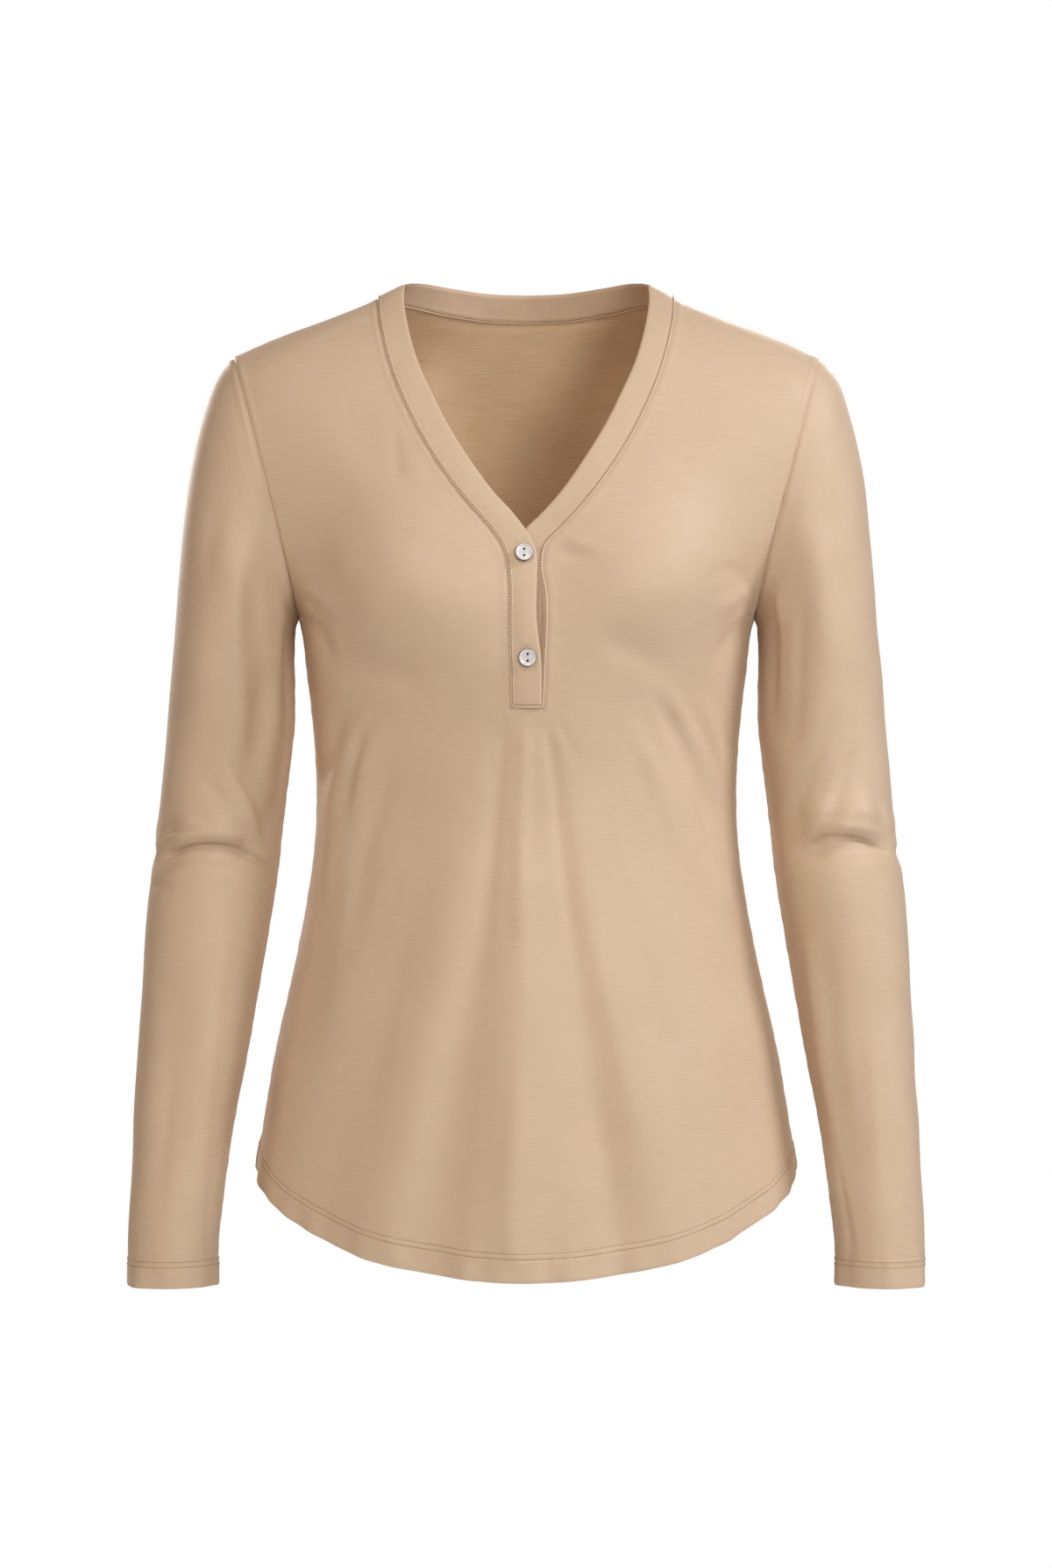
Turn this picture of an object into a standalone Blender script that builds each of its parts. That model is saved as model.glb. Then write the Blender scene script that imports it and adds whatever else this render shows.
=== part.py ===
"""Long-sleeved blouse in soft jersey with a V neckline, a short two-button placket and a shirt-tail hem.

The blouse stands filled out and hollow, as it is worn. +Z is up, the front faces -Y and the wearer's left
arm is at +X. The origin lies midway between the two high shoulder points, where the neckband meets the
shoulder seams. Tables and sizes are in millimetres; meshes are made in metres.

Every panel is a thin wall: a grid of points on one garment surface, thickened inwards. Panels stop short
of their seams by half a seam gap, and the points that two panels share at a seam are thickened along the
same direction, so the walls meet like a mitre.
"""

import math

import bmesh
import bpy
import numpy as np
from mathutils import Matrix, Vector, kdtree

MM = 0.001

# Walls and gaps
CLOTH_WALL = 1.2
BAND_WALL = 1.6
SEAM_GAP = 0.3
MITRE_LIMIT = 1.6  # a wall at a sharp seam is offset by at most this many wall thicknesses

# Shoulder, armhole and side seam
SHOULDER_SEAM_Y = -7.0
SHOULDER_TIP = (193.2, -38.5)  # x, z of the seam's outer end
UNDERARM = (150.0, -209.0)  # x, z
ARMHOLE_REACH = {"front": 57.0, "back": 60.0}  # how far the armhole bulges forward and backward
ARMHOLE_BOW = 3.0  # how far the middle of the armhole leans in from a straight line
NECK_POINT = (97.0, 2.0)  # x, z where neckband and shoulder seam meet
SIDE_HEM_Z = -571.4
HEM_DROP = 63.4  # the hem at centre front and centre back hangs this far below the side seams
HEM_POWER = 1.25  # at 1 the hem's curve is a plain cosine, and above 1 it is fuller at the sides

# The shoulder line from the neckband's top edge out to the armhole
SHOULDER_COLUMNS = ("z", "half_width")
SHOULDER = [
    (16.0, 68.0),
    (10.4, 80.0),
    (2.0, 97.0),
    (-11.6, 129.8),
    (-26.6, 168.0),
    (-38.5, 193.2),
]

# Half width of the body at the side seams, below the underarm
SIDE_COLUMNS = ("z", "half_width")
SIDE = [
    (-209.0, 150.0),
    (-218.0, 147.4),
    (-232.0, 145.0),
    (-253.0, 142.8),
    (-280.0, 140.3),
    (-304.0, 138.6),
    (-332.0, 138.0),
    (-360.0, 139.4),
    (-397.0, 144.7),
    (-440.0, 153.0),
    (-495.0, 165.3),
    (-540.0, 172.8),
    (-571.4, 177.7),
    (-640.0, 183.0),
]

# How far the front and the back stand out at the centre of the body
DEPTH_COLUMNS = ("z", "front", "back")
DEPTH = [
    (16.0, 20.0, 66.0),
    (2.0, 32.0, 71.0),
    (-8.0, 42.0, 75.0),
    (-22.0, 54.0, 82.0),
    (-38.5, 65.0, 89.0),
    (-60.0, 76.0, 96.0),
    (-100.0, 90.0, 104.0),
    (-150.0, 104.0, 107.0),
    (-195.0, 113.0, 105.0),
    (-235.0, 115.0, 100.0),
    (-285.0, 109.0, 90.0),
    (-332.0, 105.0, 85.0),
    (-390.0, 110.0, 94.0),
    (-460.0, 117.0, 109.0),
    (-540.0, 122.0, 119.0),
    (-640.0, 125.0, 123.0),
]

# Fullness over the bust: a soft round rise on each side of the front
BUST = {"x": 80.0, "z": -192.0, "rise": 19.0, "spread_x": 50.0, "spread_up": 62.0, "spread_down": 46.0}

# Folds run between two places, each given by a turn in degrees and a level. A positive height is a ridge
# and a negative one a trough.
FOLD_COLUMNS = ("turn_top", "z_top", "turn_low", "z_low", "width", "height")
# One row per fold of the body. Turns go round the body from centre front, positive towards the wearer's
# left, 180 at centre back.
BODY_FOLDS = [
    (-7.5, -290.0, -21.0, -640.0, 15.0, -5.2),
    (-0.5, -290.0, -3.0, -640.0, 15.0, 3.6),
    (6.0, -290.0, 20.0, -640.0, 15.0, -4.8),
    (-14.0, -300.0, -33.0, -640.0, 18.0, 3.4),
    (11.0, -300.0, 34.0, -640.0, 18.0, 3.2),
    (-44.0, -272.0, -70.0, -400.0, 17.0, 4.0),
    (42.0, -296.0, 66.0, -420.0, 17.0, 3.8),
    (-24.0, -330.0, -51.0, -640.0, 19.0, -2.8),
    (54.0, -440.0, 54.0, -640.0, 22.0, -2.6),
    (168.0, -240.0, 164.0, -640.0, 26.0, -4.4),
    (191.0, -230.0, 197.0, -640.0, 26.0, -4.2),
    (180.0, -330.0, 180.0, -640.0, 24.0, 3.0),
    (138.0, -360.0, 132.0, -640.0, 26.0, 3.8),
    (222.0, -370.0, 229.0, -640.0, 26.0, 3.6),
    (114.0, -280.0, 150.0, -350.0, 18.0, 3.4),
    (246.0, -290.0, 209.0, -344.0, 18.0, 3.4),
]
HEM_LEVEL = -600.0  # a fold that reaches below this level runs on through the hem and is deepest there
FOLD_FADE = 0.3  # share of a fold's length over which it rises from nothing at each end
HEM_FOLD_FADE = 0.75
DEGREE_OF_BODY = 2.5  # width of one degree round the body
ARMHOLE_CALM = 45.0  # folds and fullness die out over this height below the underarm's level
ARMHOLE_CALM_TURN = 0.45  # and, beside the armhole, over this angle in radians

# How the front's rows are spread along the neckline: closer at the shoulder and at the point of the V
NECK_SPACING_COLUMNS = ("row_share", "length_share")
NECK_SPACING = [(0.0, 0.0), (0.25, 0.17), (0.66, 0.69), (0.92, 0.90), (1.0, 1.0)]
NECK_MIDDLE = (0.0, 20.0, -150.0)  # a place inside the neck, which the neckband's outer face looks away from

# The neckband: one row per section of one half, from the high shoulder point down to the placket. The
# seam side is sewn to the panel and the fold side is the finished edge.
NECK_COLUMNS = ("seam_x", "seam_z", "fold_x", "fold_z")
NECKLINE = [
    (97.0, 2.0, 80.0, 10.4),
    (96.4, -10.0, 80.2, -1.0),
    (93.6, -26.0, 77.6, -17.6),
    (87.0, -50.6, 70.9, -42.8),
    (76.4, -76.4, 60.4, -67.0),
    (66.0, -96.6, 50.6, -86.8),
    (50.0, -121.4, 35.2, -111.8),
    (34.6, -141.0, 20.6, -132.2),
]
# The overlap on the wearer's right and the underlap on the left, down to the foot of the placket
OVERLAP = [
    (-34.6, -141.0, -20.6, -132.2),
    (-22.4, -155.2, -8.6, -145.4),
    (-14.6, -167.4, 1.4, -159.2),
    (-11.4, -181.0, 6.4, -171.6),
    (-10.4, -196.0, 6.6, -189.0),
    (-10.6, -214.0, 6.3, -211.0),
    (-10.2, -240.0, 9.3, -239.0),
    (-9.4, -269.6, 9.8, -269.6),
]
UNDERLAP = [
    (34.6, -141.0, 20.6, -132.2),
    (22.4, -154.6, 8.8, -145.6),
    (11.6, -166.6, -3.0, -158.0),
    (9.8, -180.0, -7.0, -172.0),
    (12.4, -196.0, -7.2, -190.0),
    (12.9, -214.0, -7.4, -211.0),
    (11.8, -240.0, -7.8, -239.0),
    (10.6, -269.6, -8.0, -269.6),
]
PLACKET_FOOT_Z = -269.6
OVERLAP_LIFT = 1.05  # the overlap's middle stands this far out from the front panel's face
UNDERLAP_LIFT = -1.05
LIFT_SPAN = 46.0  # length of neckband over which it climbs to the overlap or sinks to the underlap

# The back neck, from the high shoulder point (turn 0) to centre back (turn 90)
BACK_NECK_COLUMNS = ("turn", "seam_z", "fold_x", "fold_y", "fold_z")
BACK_NECK = [
    (0.0, 2.0, 80.0, -6.0, 10.4),
    (22.0, 2.2, 75.3, 20.3, 14.0),
    (45.0, 0.2, 65.4, 41.1, 15.4),
    (62.0, -3.1, 48.4, 57.6, 14.0),
    (78.0, -6.2, 23.5, 67.3, 11.5),
    (90.0, -6.8, 0.0, 69.8, 10.9),
]

# One row per ring of a sleeve, from the armhole to the cuff, on the wearer's left
SLEEVE_COLUMNS = ("outer_x", "outer_z", "inner_x", "inner_z", "half_depth", "centre_y")
SLEEVE = [
    (193.2, -38.5, 150.0, -209.0, 58.5, 1.5),
    (203.5, -51.0, 151.6, -212.0, 58.5, 1.5),
    (213.0, -76.0, 152.6, -216.0, 58.0, 1.2),
    (220.0, -107.0, 153.0, -221.5, 57.0, 0.8),
    (225.5, -145.0, 153.2, -229.5, 56.0, 0.0),
    (229.0, -182.0, 153.2, -241.0, 54.5, -0.5),
    (232.3, -225.0, 152.8, -258.5, 53.0, -1.0),
    (235.5, -265.0, 153.0, -280.0, 52.0, -1.5),
    (238.5, -305.0, 156.0, -308.0, 50.5, -2.5),
    (242.5, -347.0, 160.4, -345.0, 49.0, -4.5),
    (247.0, -378.0, 163.6, -376.0, 48.5, -7.0),
    (250.2, -411.7, 169.0, -411.7, 47.0, -10.0),
    (251.8, -454.4, 176.2, -455.0, 44.0, -15.0),
    (253.4, -499.0, 183.3, -497.0, 41.0, -20.0),
    (255.9, -543.2, 191.5, -540.0, 37.5, -25.0),
    (258.7, -589.5, 197.7, -585.0, 34.0, -29.0),
    (260.4, -624.9, 201.5, -622.0, 31.5, -32.0),
    (260.8, -645.0, 202.2, -644.5, 31.0, -33.0),
]

# One row per fold of a sleeve. Turns go round the sleeve from its outer line over the front, 180 at the
# underarm seam.
SLEEVE_FOLDS = {
    "sleeve_right": [
        (10.0, -366.0, 150.0, -361.0, 9.0, -5.0),
        (40.0, -344.0, 130.0, -340.0, 12.0, 3.6),
        (172.0, -318.0, 118.0, -366.0, 10.0, -4.2),
        (132.0, -232.0, 116.0, -330.0, 15.0, -4.0),
        (84.0, -140.0, 66.0, -300.0, 20.0, 3.4),
        (70.0, -420.0, 84.0, -596.0, 17.0, -3.0),
        (236.0, -240.0, 250.0, -345.0, 17.0, -4.0),
        (200.0, -368.0, 320.0, -352.0, 10.0, 4.0),
        (280.0, -410.0, 268.0, -600.0, 19.0, -3.2),
    ],
    "sleeve_left": [
        (14.0, -358.0, 150.0, -361.0, 9.0, -5.0),
        (40.0, -336.0, 130.0, -340.0, 12.0, 4.2),
        (66.0, -262.0, 146.0, -372.0, 12.0, -4.2),
        (142.0, -196.0, 134.0, -304.0, 15.0, -4.0),
        (86.0, -140.0, 74.0, -260.0, 20.0, 3.2),
        (88.0, -414.0, 96.0, -600.0, 17.0, -3.0),
        (244.0, -232.0, 256.0, -350.0, 17.0, -3.8),
        (206.0, -372.0, 316.0, -356.0, 10.0, 4.0),
        (262.0, -420.0, 276.0, -596.0, 19.0, -3.2),
    ],
}
# How a sleeve's rings are spread along it: closest round the elbow, where the folds are narrow
RING_SPACING_COLUMNS = ("ring_share", "length_share")
RING_SPACING = [(0.0, 0.0), (0.12, 0.09), (0.36, 0.48), (0.66, 0.64), (1.0, 1.0)]
OUTER_LINE_WEIGHT = 0.6  # the outer line's length counts this much beside the middle line's
FOLD_SLANT_SHARE = 0.2  # share of a ring's slant that counts in the width of its folds
SLEEVE_HEAD_SHARE = 0.38  # share of a sleeve over which the armhole's shape passes into plain ovals
FOLD_FREE_SHARE = 0.12  # share of a sleeve beside the armhole that has no folds
SLEEVE_SIDE = 60.0  # a panel whose middle lies farther out than this is a sleeve

# Buttons: x, z on the overlap
BUTTONS = {"button_upper": (-1.4, -171.1), "button_lower": (0.8, -237.6)}
# The button's outline from the middle of its dished face round to the middle of its back
BUTTON_PROFILE_COLUMNS = ("radius", "height")
BUTTON_PROFILE = [
    (0.0, 1.7),
    (3.55, 1.7),
    (4.45, 2.4),
    (5.15, 2.4),
    (5.75, 1.5),
    (5.25, 0.4),
    (4.35, 0.0),
    (0.0, 0.0),
]
BUTTON_THICKNESS = 2.4
BUTTON_HOLE_RADIUS = 0.65
BUTTON_HOLE_SPACING = 4.2
BUTTON_SEGMENTS = 24
BUTTON_HOLE_SEGMENTS = 12
BUTTON_WELD = 0.01  # the turned outline's points on the axis are joined within this distance
BUTTON_REACH = 15.0  # the button rests on the overlap's points within this distance

# Fineness of the grids
ARMHOLE_STEPS = 12
CHEST_ROWS = 4
SKIRT_ROWS = 13
FRONT_COLUMNS = 11
BACK_NECK_STEPS = 6
SLEEVE_ROWS = 25
WELD_DISTANCE = 0.02  # points of two panels nearer than this are one point of the seam
SHARP_EDGE = 50.0  # edges that turn more than this many degrees are sharp
SET_BACK_LIMIT = 0.5  # a corner is set back along its middle by at most twice the distance

MATERIALS = {
    "jersey": ((0.50, 0.36, 0.24, 1.0), 0.85),
    "band": ((0.47, 0.33, 0.22, 1.0), 0.85),
    "pearl": ((0.75, 0.75, 0.73, 1.0), 0.3),
}


def column(rows, names, name):
    """One column of a table as an array."""
    return np.array([row[names.index(name)] for row in rows], dtype=float)


def curve(rows, names, name, at):
    """A column of a table as a smooth curve over the table's first column, read at the given places."""
    return smooth(column(rows, names, names[0]), column(rows, names, name), at)


def smooth(knots, values, at):
    """A smooth curve through the values at the knots, read at the given places."""
    knots = np.asarray(knots, dtype=float)
    values = np.asarray(values, dtype=float)
    if knots[0] > knots[-1]:
        knots, values = knots[::-1], values[::-1]
    at = np.clip(np.asarray(at, dtype=float), knots[0], knots[-1])
    slopes = np.gradient(values, knots)
    k = np.clip(np.searchsorted(knots, at) - 1, 0, len(knots) - 2)
    span = knots[k + 1] - knots[k]
    t = (at - knots[k]) / span
    start = (1 + 2 * t) * (1 - t) ** 2 * values[k] + t * (1 - t) ** 2 * span * slopes[k]
    end = t * t * (3 - 2 * t) * values[k + 1] + t * t * (t - 1) * span * slopes[k + 1]
    return start + end


def smoothstep(t):
    """A soft step from 0 to 1."""
    t = np.clip(t, 0.0, 1.0)
    return t * t * (3 - 2 * t)


def armhole_turn(z):
    """Angle round the armhole at a height: 0 at the shoulder seam, pi at the underarm."""
    middle = (SHOULDER_TIP[1] + UNDERARM[1]) / 2
    half = (SHOULDER_TIP[1] - UNDERARM[1]) / 2
    return np.arccos(np.clip((np.asarray(z, dtype=float) - middle) / half, -1.0, 1.0))


def armhole_z(turn):
    """Height of the armhole seam at an angle round it."""
    middle = (SHOULDER_TIP[1] + UNDERARM[1]) / 2
    half = (SHOULDER_TIP[1] - UNDERARM[1]) / 2
    return middle + half * np.cos(turn)


def half_width(z):
    """Half width of the body's panels at a height: shoulder line, armhole or side seam."""
    z = np.asarray(z, dtype=float)
    shoulder = curve(SHOULDER, SHOULDER_COLUMNS, "half_width", z)
    share = (z - UNDERARM[1]) / (SHOULDER_TIP[1] - UNDERARM[1])
    armhole = UNDERARM[0] + share * (SHOULDER_TIP[0] - UNDERARM[0])
    armhole = armhole - ARMHOLE_BOW * np.sin(armhole_turn(z))
    side = curve(SIDE, SIDE_COLUMNS, "half_width", z)
    return np.where(z > SHOULDER_TIP[1], shoulder, np.where(z > UNDERARM[1], armhole, side))


def middle_y(z):
    """Where the seam between front and back lies: forward at the shoulders, centred below the underarm."""
    return SHOULDER_SEAM_Y * (1 + np.cos(armhole_turn(z))) / 2


def section(z, side):
    """The elliptical section of one side of the body at a height.

    Returns its half axes, its centre's y and the angle at which the panel ends.
    """
    sign = -1.0 if side == "front" else 1.0
    depth = curve(DEPTH, DEPTH_COLUMNS, side, z)
    centre = middle_y(z)
    deep = depth - sign * centre
    reach = ARMHOLE_REACH[side] * np.sin(armhole_turn(z))
    end = np.arccos(np.clip(reach / deep, 0.0, 1.0))
    wide = half_width(z) / np.sin(end)
    return wide, deep, centre, end


def fold_height(folds, turn, z, scale):
    """Sum of the folds' heights at places given by turn (degrees) and level; scale is a degree's width.

    Each fold is a soft ridge or trough along a line between two places, fading out at both ends.
    """
    total = np.zeros(np.broadcast(turn, z).shape)
    for row in folds:
        fold = dict(zip(FOLD_COLUMNS, row))
        along = np.array([(fold["turn_low"] - fold["turn_top"]) * scale, fold["z_low"] - fold["z_top"]])
        length = math.hypot(*along)
        dx = ((turn - fold["turn_top"] + 180.0) % 360.0 - 180.0) * scale
        dz = z - fold["z_top"]
        share = (dx * along[0] + dz * along[1]) / length**2
        apart = (dx * along[1] - dz * along[0]) / length
        if fold["z_low"] < HEM_LEVEL:
            fade = smoothstep(share / HEM_FOLD_FADE)
        else:
            fade = smoothstep(share / FOLD_FADE) * smoothstep((1 - share) / FOLD_FADE)
        total += fold["height"] * fade * np.exp(-((apart / fold["width"]) ** 2))
    return total


def body_point(angle, z, side):
    """A point of the front or back at an angle from the centre line (radians, in the panel) and height."""
    wide, deep, centre, end = section(z, side)
    sign = -1.0 if side == "front" else 1.0
    x = wide * np.sin(angle)
    y = centre + sign * deep * np.cos(angle)
    out_x, out_y = np.sin(angle) / wide, sign * np.cos(angle) / deep
    size = np.hypot(out_x, out_y)
    near_armhole = smoothstep((z - UNDERARM[1] + ARMHOLE_CALM) / ARMHOLE_CALM)
    free = 1.0 - near_armhole * (1.0 - smoothstep((end - np.abs(angle)) / ARMHOLE_CALM_TURN))
    around = np.degrees(angle) if side == "front" else 180.0 - np.degrees(angle)
    lift = fold_height(BODY_FOLDS, around, z, DEGREE_OF_BODY)
    if side == "front":
        spread_z = np.where(z > BUST["z"], BUST["spread_up"], BUST["spread_down"])
        apart = ((np.abs(x) - BUST["x"]) / BUST["spread_x"]) ** 2 + ((z - BUST["z"]) / spread_z) ** 2
        lift = lift + BUST["rise"] * np.exp(-apart)
    lift = lift * free
    return np.stack([x + lift * out_x / size, y + lift * out_y / size, z + 0.0 * x], axis=-1)


def angle_at(x, z, side):
    """The angle from the centre line at which the panel has a given x at a height."""
    wide, _, _, end = section(z, side)
    return np.clip(np.arcsin(np.clip(x / wide, -1.0, 1.0)), -end, end)


def hem_z(angle):
    """Height of the hem at an angle from the centre line: a shirt tail, highest at the side seams."""
    return SIDE_HEM_Z - HEM_DROP * np.maximum(np.cos(angle), 0.0) ** HEM_POWER


def neck_half(sign):
    """Half of the neckline and its side of the placket, as smooth curves read by length along the seam.

    Returns a function that gives seam x, seam z, fold x and fold z at lengths from the shoulder, the whole
    length, the length of the neckline alone and the length at the underarm's level.
    """
    lap = OVERLAP if sign < 0 else UNDERLAP
    rows = [(sign * a, b, sign * c, d) for a, b, c, d in NECKLINE] + lap[1:]
    table = np.array(rows)
    steps = np.hypot(np.diff(table[:, 0]), np.diff(table[:, 1]))
    lengths = np.concatenate([[0.0], np.cumsum(steps)])

    def read(at):
        return [smooth(lengths, table[:, i], at) for i in range(len(NECK_COLUMNS))]

    level = np.interp(-UNDERARM[1], -table[:, 1], lengths)
    return read, lengths[-1], lengths[len(NECKLINE) - 1], level


def neck_row_lengths(sign):
    """Lengths along the neckline seam at which the front's rows start, down to the placket's foot."""
    _, whole, _, level = neck_half(sign)
    knots = column(NECK_SPACING, NECK_SPACING_COLUMNS, "row_share")
    values = column(NECK_SPACING, NECK_SPACING_COLUMNS, "length_share")
    shares = np.interp(np.linspace(0.0, 1.0, ARMHOLE_STEPS + 1), knots, values)
    return np.concatenate([shares * level, np.linspace(level, whole, CHEST_ROWS + 1)[1:]])


def front_half(sign):
    """Grid of one half of the front, from the shoulder seam to the hem."""
    read = neck_half(sign)[0]
    inner_x, inner_z = read(neck_row_lengths(sign))[:2]
    outer_z = armhole_z(np.linspace(0.0, math.pi, ARMHOLE_STEPS + 1))
    outer_z = np.concatenate([outer_z, np.linspace(UNDERARM[1], PLACKET_FOOT_Z, CHEST_ROWS + 1)[1:]])
    across = np.linspace(0.0, 1.0, FRONT_COLUMNS + 1)
    rows = []
    for x, z_in, z_out in zip(inner_x, inner_z, outer_z):
        start = angle_at(x, z_in, "front")
        end = section(z_out, "front")[3] * sign
        rows.append(body_point(start + (end - start) * across, z_in + (z_out - z_in) * across, "front"))
    angles = start + (end - start) * across
    for share in np.linspace(0.0, 1.0, SKIRT_ROWS + 1)[1:]:
        rows.append(body_point(angles, PLACKET_FOOT_Z + share * (hem_z(angles) - PLACKET_FOOT_Z), "front"))
    return np.array(rows)


def front_surface():
    """Points and faces of the front panel: two halves and, below the placket, the strip that joins them."""
    right = front_half(-1.0)
    left = front_half(1.0)
    rows, columns = right.shape[:2]
    foot = ARMHOLE_STEPS + CHEST_ROWS
    points = np.concatenate([right[:, ::-1], left], axis=1)
    faces = []
    for r in range(rows - 1):
        for c in range(2 * columns - 1):
            if c == columns - 1 and r < foot:
                continue
            a = r * 2 * columns + c
            faces.append((a, a + 2 * columns, a + 2 * columns + 1, a + 1))
    return points.reshape(-1, 3), faces


def back_half(sign):
    """Grid of one half of the back, from the neck and shoulder seams to the hem, centre back first."""
    neck = np.linspace(90.0, 0.0, BACK_NECK_STEPS + 1)[:-1]
    neck_z = curve(BACK_NECK, BACK_NECK_COLUMNS, "seam_z", neck)
    across = np.linspace(0.0, 1.0, FRONT_COLUMNS + 1)
    shoulder_z = NECK_POINT[1] + (SHOULDER_TIP[1] - NECK_POINT[1]) * across
    top_z = np.concatenate([neck_z, shoulder_z])
    top_x = np.concatenate([half_width(neck_z) * np.cos(np.radians(neck)), half_width(shoulder_z)])
    share = np.linspace(0.0, 1.0, len(top_x))
    low_angle = share * math.pi / 2
    low_x = UNDERARM[0] * np.sin(low_angle)
    rows = []
    for drop in (1 - np.cos(np.linspace(0.0, math.pi, ARMHOLE_STEPS + 1))) / 2:
        z = top_z + (UNDERARM[1] - top_z) * drop
        x = top_x + (low_x - top_x) * drop
        x = x + (half_width(z[-1]) - x[-1]) * share**3
        rows.append(body_point(sign * angle_at(x, z, "back"), z, "back"))
    low_rows = CHEST_ROWS + SKIRT_ROWS
    for drop in np.linspace(0.0, 1.0, low_rows + 1)[1:]:
        z = UNDERARM[1] + (hem_z(low_angle) - UNDERARM[1]) * drop
        rows.append(body_point(sign * low_angle, z, "back"))
    return np.array(rows)


def back_surface():
    """Points and faces of the back panel."""
    points = np.concatenate([back_half(-1.0)[:, ::-1], back_half(1.0)[:, 1:]], axis=1)
    return points.reshape(-1, 3), grid_faces(points.shape[0], points.shape[1], False)


def grid_faces(rows, columns, closed):
    """Quads of a grid, with the last column joined to the first if it is a tube."""
    faces = []
    for r in range(rows - 1):
        for c in range(columns if closed else columns - 1):
            d = (c + 1) % columns
            faces.append((r * columns + c, (r + 1) * columns + c, (r + 1) * columns + d, r * columns + d))
    return faces


def sleeve_surface(name):
    """Points and faces of one sleeve: rings from the armhole seam to the cuff."""
    sign = 1.0 if name == "sleeve_left" else -1.0
    table = {key: column(SLEEVE, SLEEVE_COLUMNS, key) for key in SLEEVE_COLUMNS}
    middle_x = (table["outer_x"] + table["inner_x"]) / 2
    middle_z = (table["outer_z"] + table["inner_z"]) / 2
    path = np.concatenate([[0.0], np.cumsum(np.hypot(np.diff(middle_x), np.diff(middle_z)))])
    reach = np.concatenate([[0.0], np.cumsum(np.hypot(np.diff(table["outer_x"]), np.diff(table["outer_z"])))])
    path = path + OUTER_LINE_WEIGHT * reach
    knots = column(RING_SPACING, RING_SPACING_COLUMNS, "ring_share")
    values = column(RING_SPACING, RING_SPACING_COLUMNS, "length_share")
    shares = np.interp(np.linspace(0.0, 1.0, SLEEVE_ROWS + 1), knots, values)
    at = path[-1] * shares
    ring = {key: smooth(path, table[key], at) for key in SLEEVE_COLUMNS}
    turns = np.linspace(0.0, 2 * math.pi, 2 * ARMHOLE_STEPS + 1)[:-1]
    rows = []
    for k in range(SLEEVE_ROWS + 1):
        centre_x = (ring["outer_x"][k] + ring["inner_x"][k]) / 2
        centre_z = (ring["outer_z"][k] + ring["inner_z"][k]) / 2
        reach_x = (ring["outer_x"][k] - ring["inner_x"][k]) / 2
        reach_z = (ring["outer_z"][k] - ring["inner_z"][k]) / 2
        seam = max(0.0, 1.0 - shares[k] / SLEEVE_HEAD_SHARE)
        bow = ARMHOLE_BOW * seam
        x = centre_x + reach_x * np.cos(turns) - bow * np.abs(np.sin(turns))
        z = centre_z + reach_z * np.cos(turns)
        shift = ring["centre_y"][k] * (1 - seam) + seam * SHOULDER_SEAM_Y * (1 + np.cos(turns)) / 2
        front_reach = ring["half_depth"][k] * (1 - seam) + seam * ARMHOLE_REACH["front"]
        back_reach = ring["half_depth"][k] * (1 - seam) + seam * ARMHOLE_REACH["back"]
        y = shift - np.sin(turns) * np.where(np.sin(turns) > 0, front_reach, back_reach)
        free = smoothstep(shares[k] / FOLD_FREE_SHARE)
        radius = (reach_x + FOLD_SLANT_SHARE * abs(reach_z) + ring["half_depth"][k]) / 2
        lift = free * fold_height(SLEEVE_FOLDS[name], np.degrees(turns), z, math.radians(radius))
        out = np.stack([np.cos(turns) * ring["half_depth"][k], -np.sin(turns) * reach_x, 0 * turns], axis=-1)
        out /= np.linalg.norm(out, axis=1)[:, None]
        points = np.stack([x, y, z], axis=-1) + lift[:, None] * out
        points[:, 0] *= sign
        rows.append(points)
    points = np.array(rows)
    return points.reshape(-1, 3), grid_faces(points.shape[0], points.shape[1], True)


def outward(points, faces):
    """Faces turned so that they look away from the middle of the surface's own sections."""
    centre = points.mean(axis=0)
    score = 0.0
    for face in faces:
        a, b, c = points[face[0]], points[face[1]], points[face[2]]
        middle = points[list(face)].mean(axis=0)
        away = middle - np.array([centre[0] if abs(centre[0]) > SLEEVE_SIDE else 0.0, 0.0, middle[2]])
        score += float(np.dot(np.cross(b - a, c - a), away))
    return faces if score > 0 else [tuple(reversed(face)) for face in faces]


def seam_offsets(panels):
    """How each point of the panels is offset for a wall of thickness 1, outwards.

    The panels are welded along their seams first, so the points that they share get one direction.
    """
    mesh = bmesh.new()
    for points, faces in panels.values():
        verts = [mesh.verts.new(point) for point in points]
        for face in faces:
            corners = [verts[i] for i in face]
            mesh.faces.new(corners)
    loose = [v for v in mesh.verts if not v.link_faces]
    bmesh.ops.delete(mesh, geom=loose, context="VERTS")
    bmesh.ops.remove_doubles(mesh, verts=mesh.verts, dist=WELD_DISTANCE)
    mesh.normal_update()
    tree = kdtree.KDTree(len(mesh.verts))
    offsets = []
    for i, vert in enumerate(mesh.verts):
        tree.insert(vert.co, i)
        offsets.append(np.array(vert.normal * min(vert.calc_shell_factor(), MITRE_LIMIT)))
    tree.balance()
    found = {}
    for name, (points, _) in panels.items():
        found[name] = np.array([offsets[tree.find(Vector(point))[1]] for point in points])
    mesh.free()
    return found


def boundary(faces):
    """Edges that belong to one face only, each in its face's direction."""
    count = {}
    for face in faces:
        for a, b in zip(face, face[1:] + face[:1]):
            count[(a, b)] = count.get((a, b), 0) + 1
    return [edge for edge in count if (edge[1], edge[0]) not in count]


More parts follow.
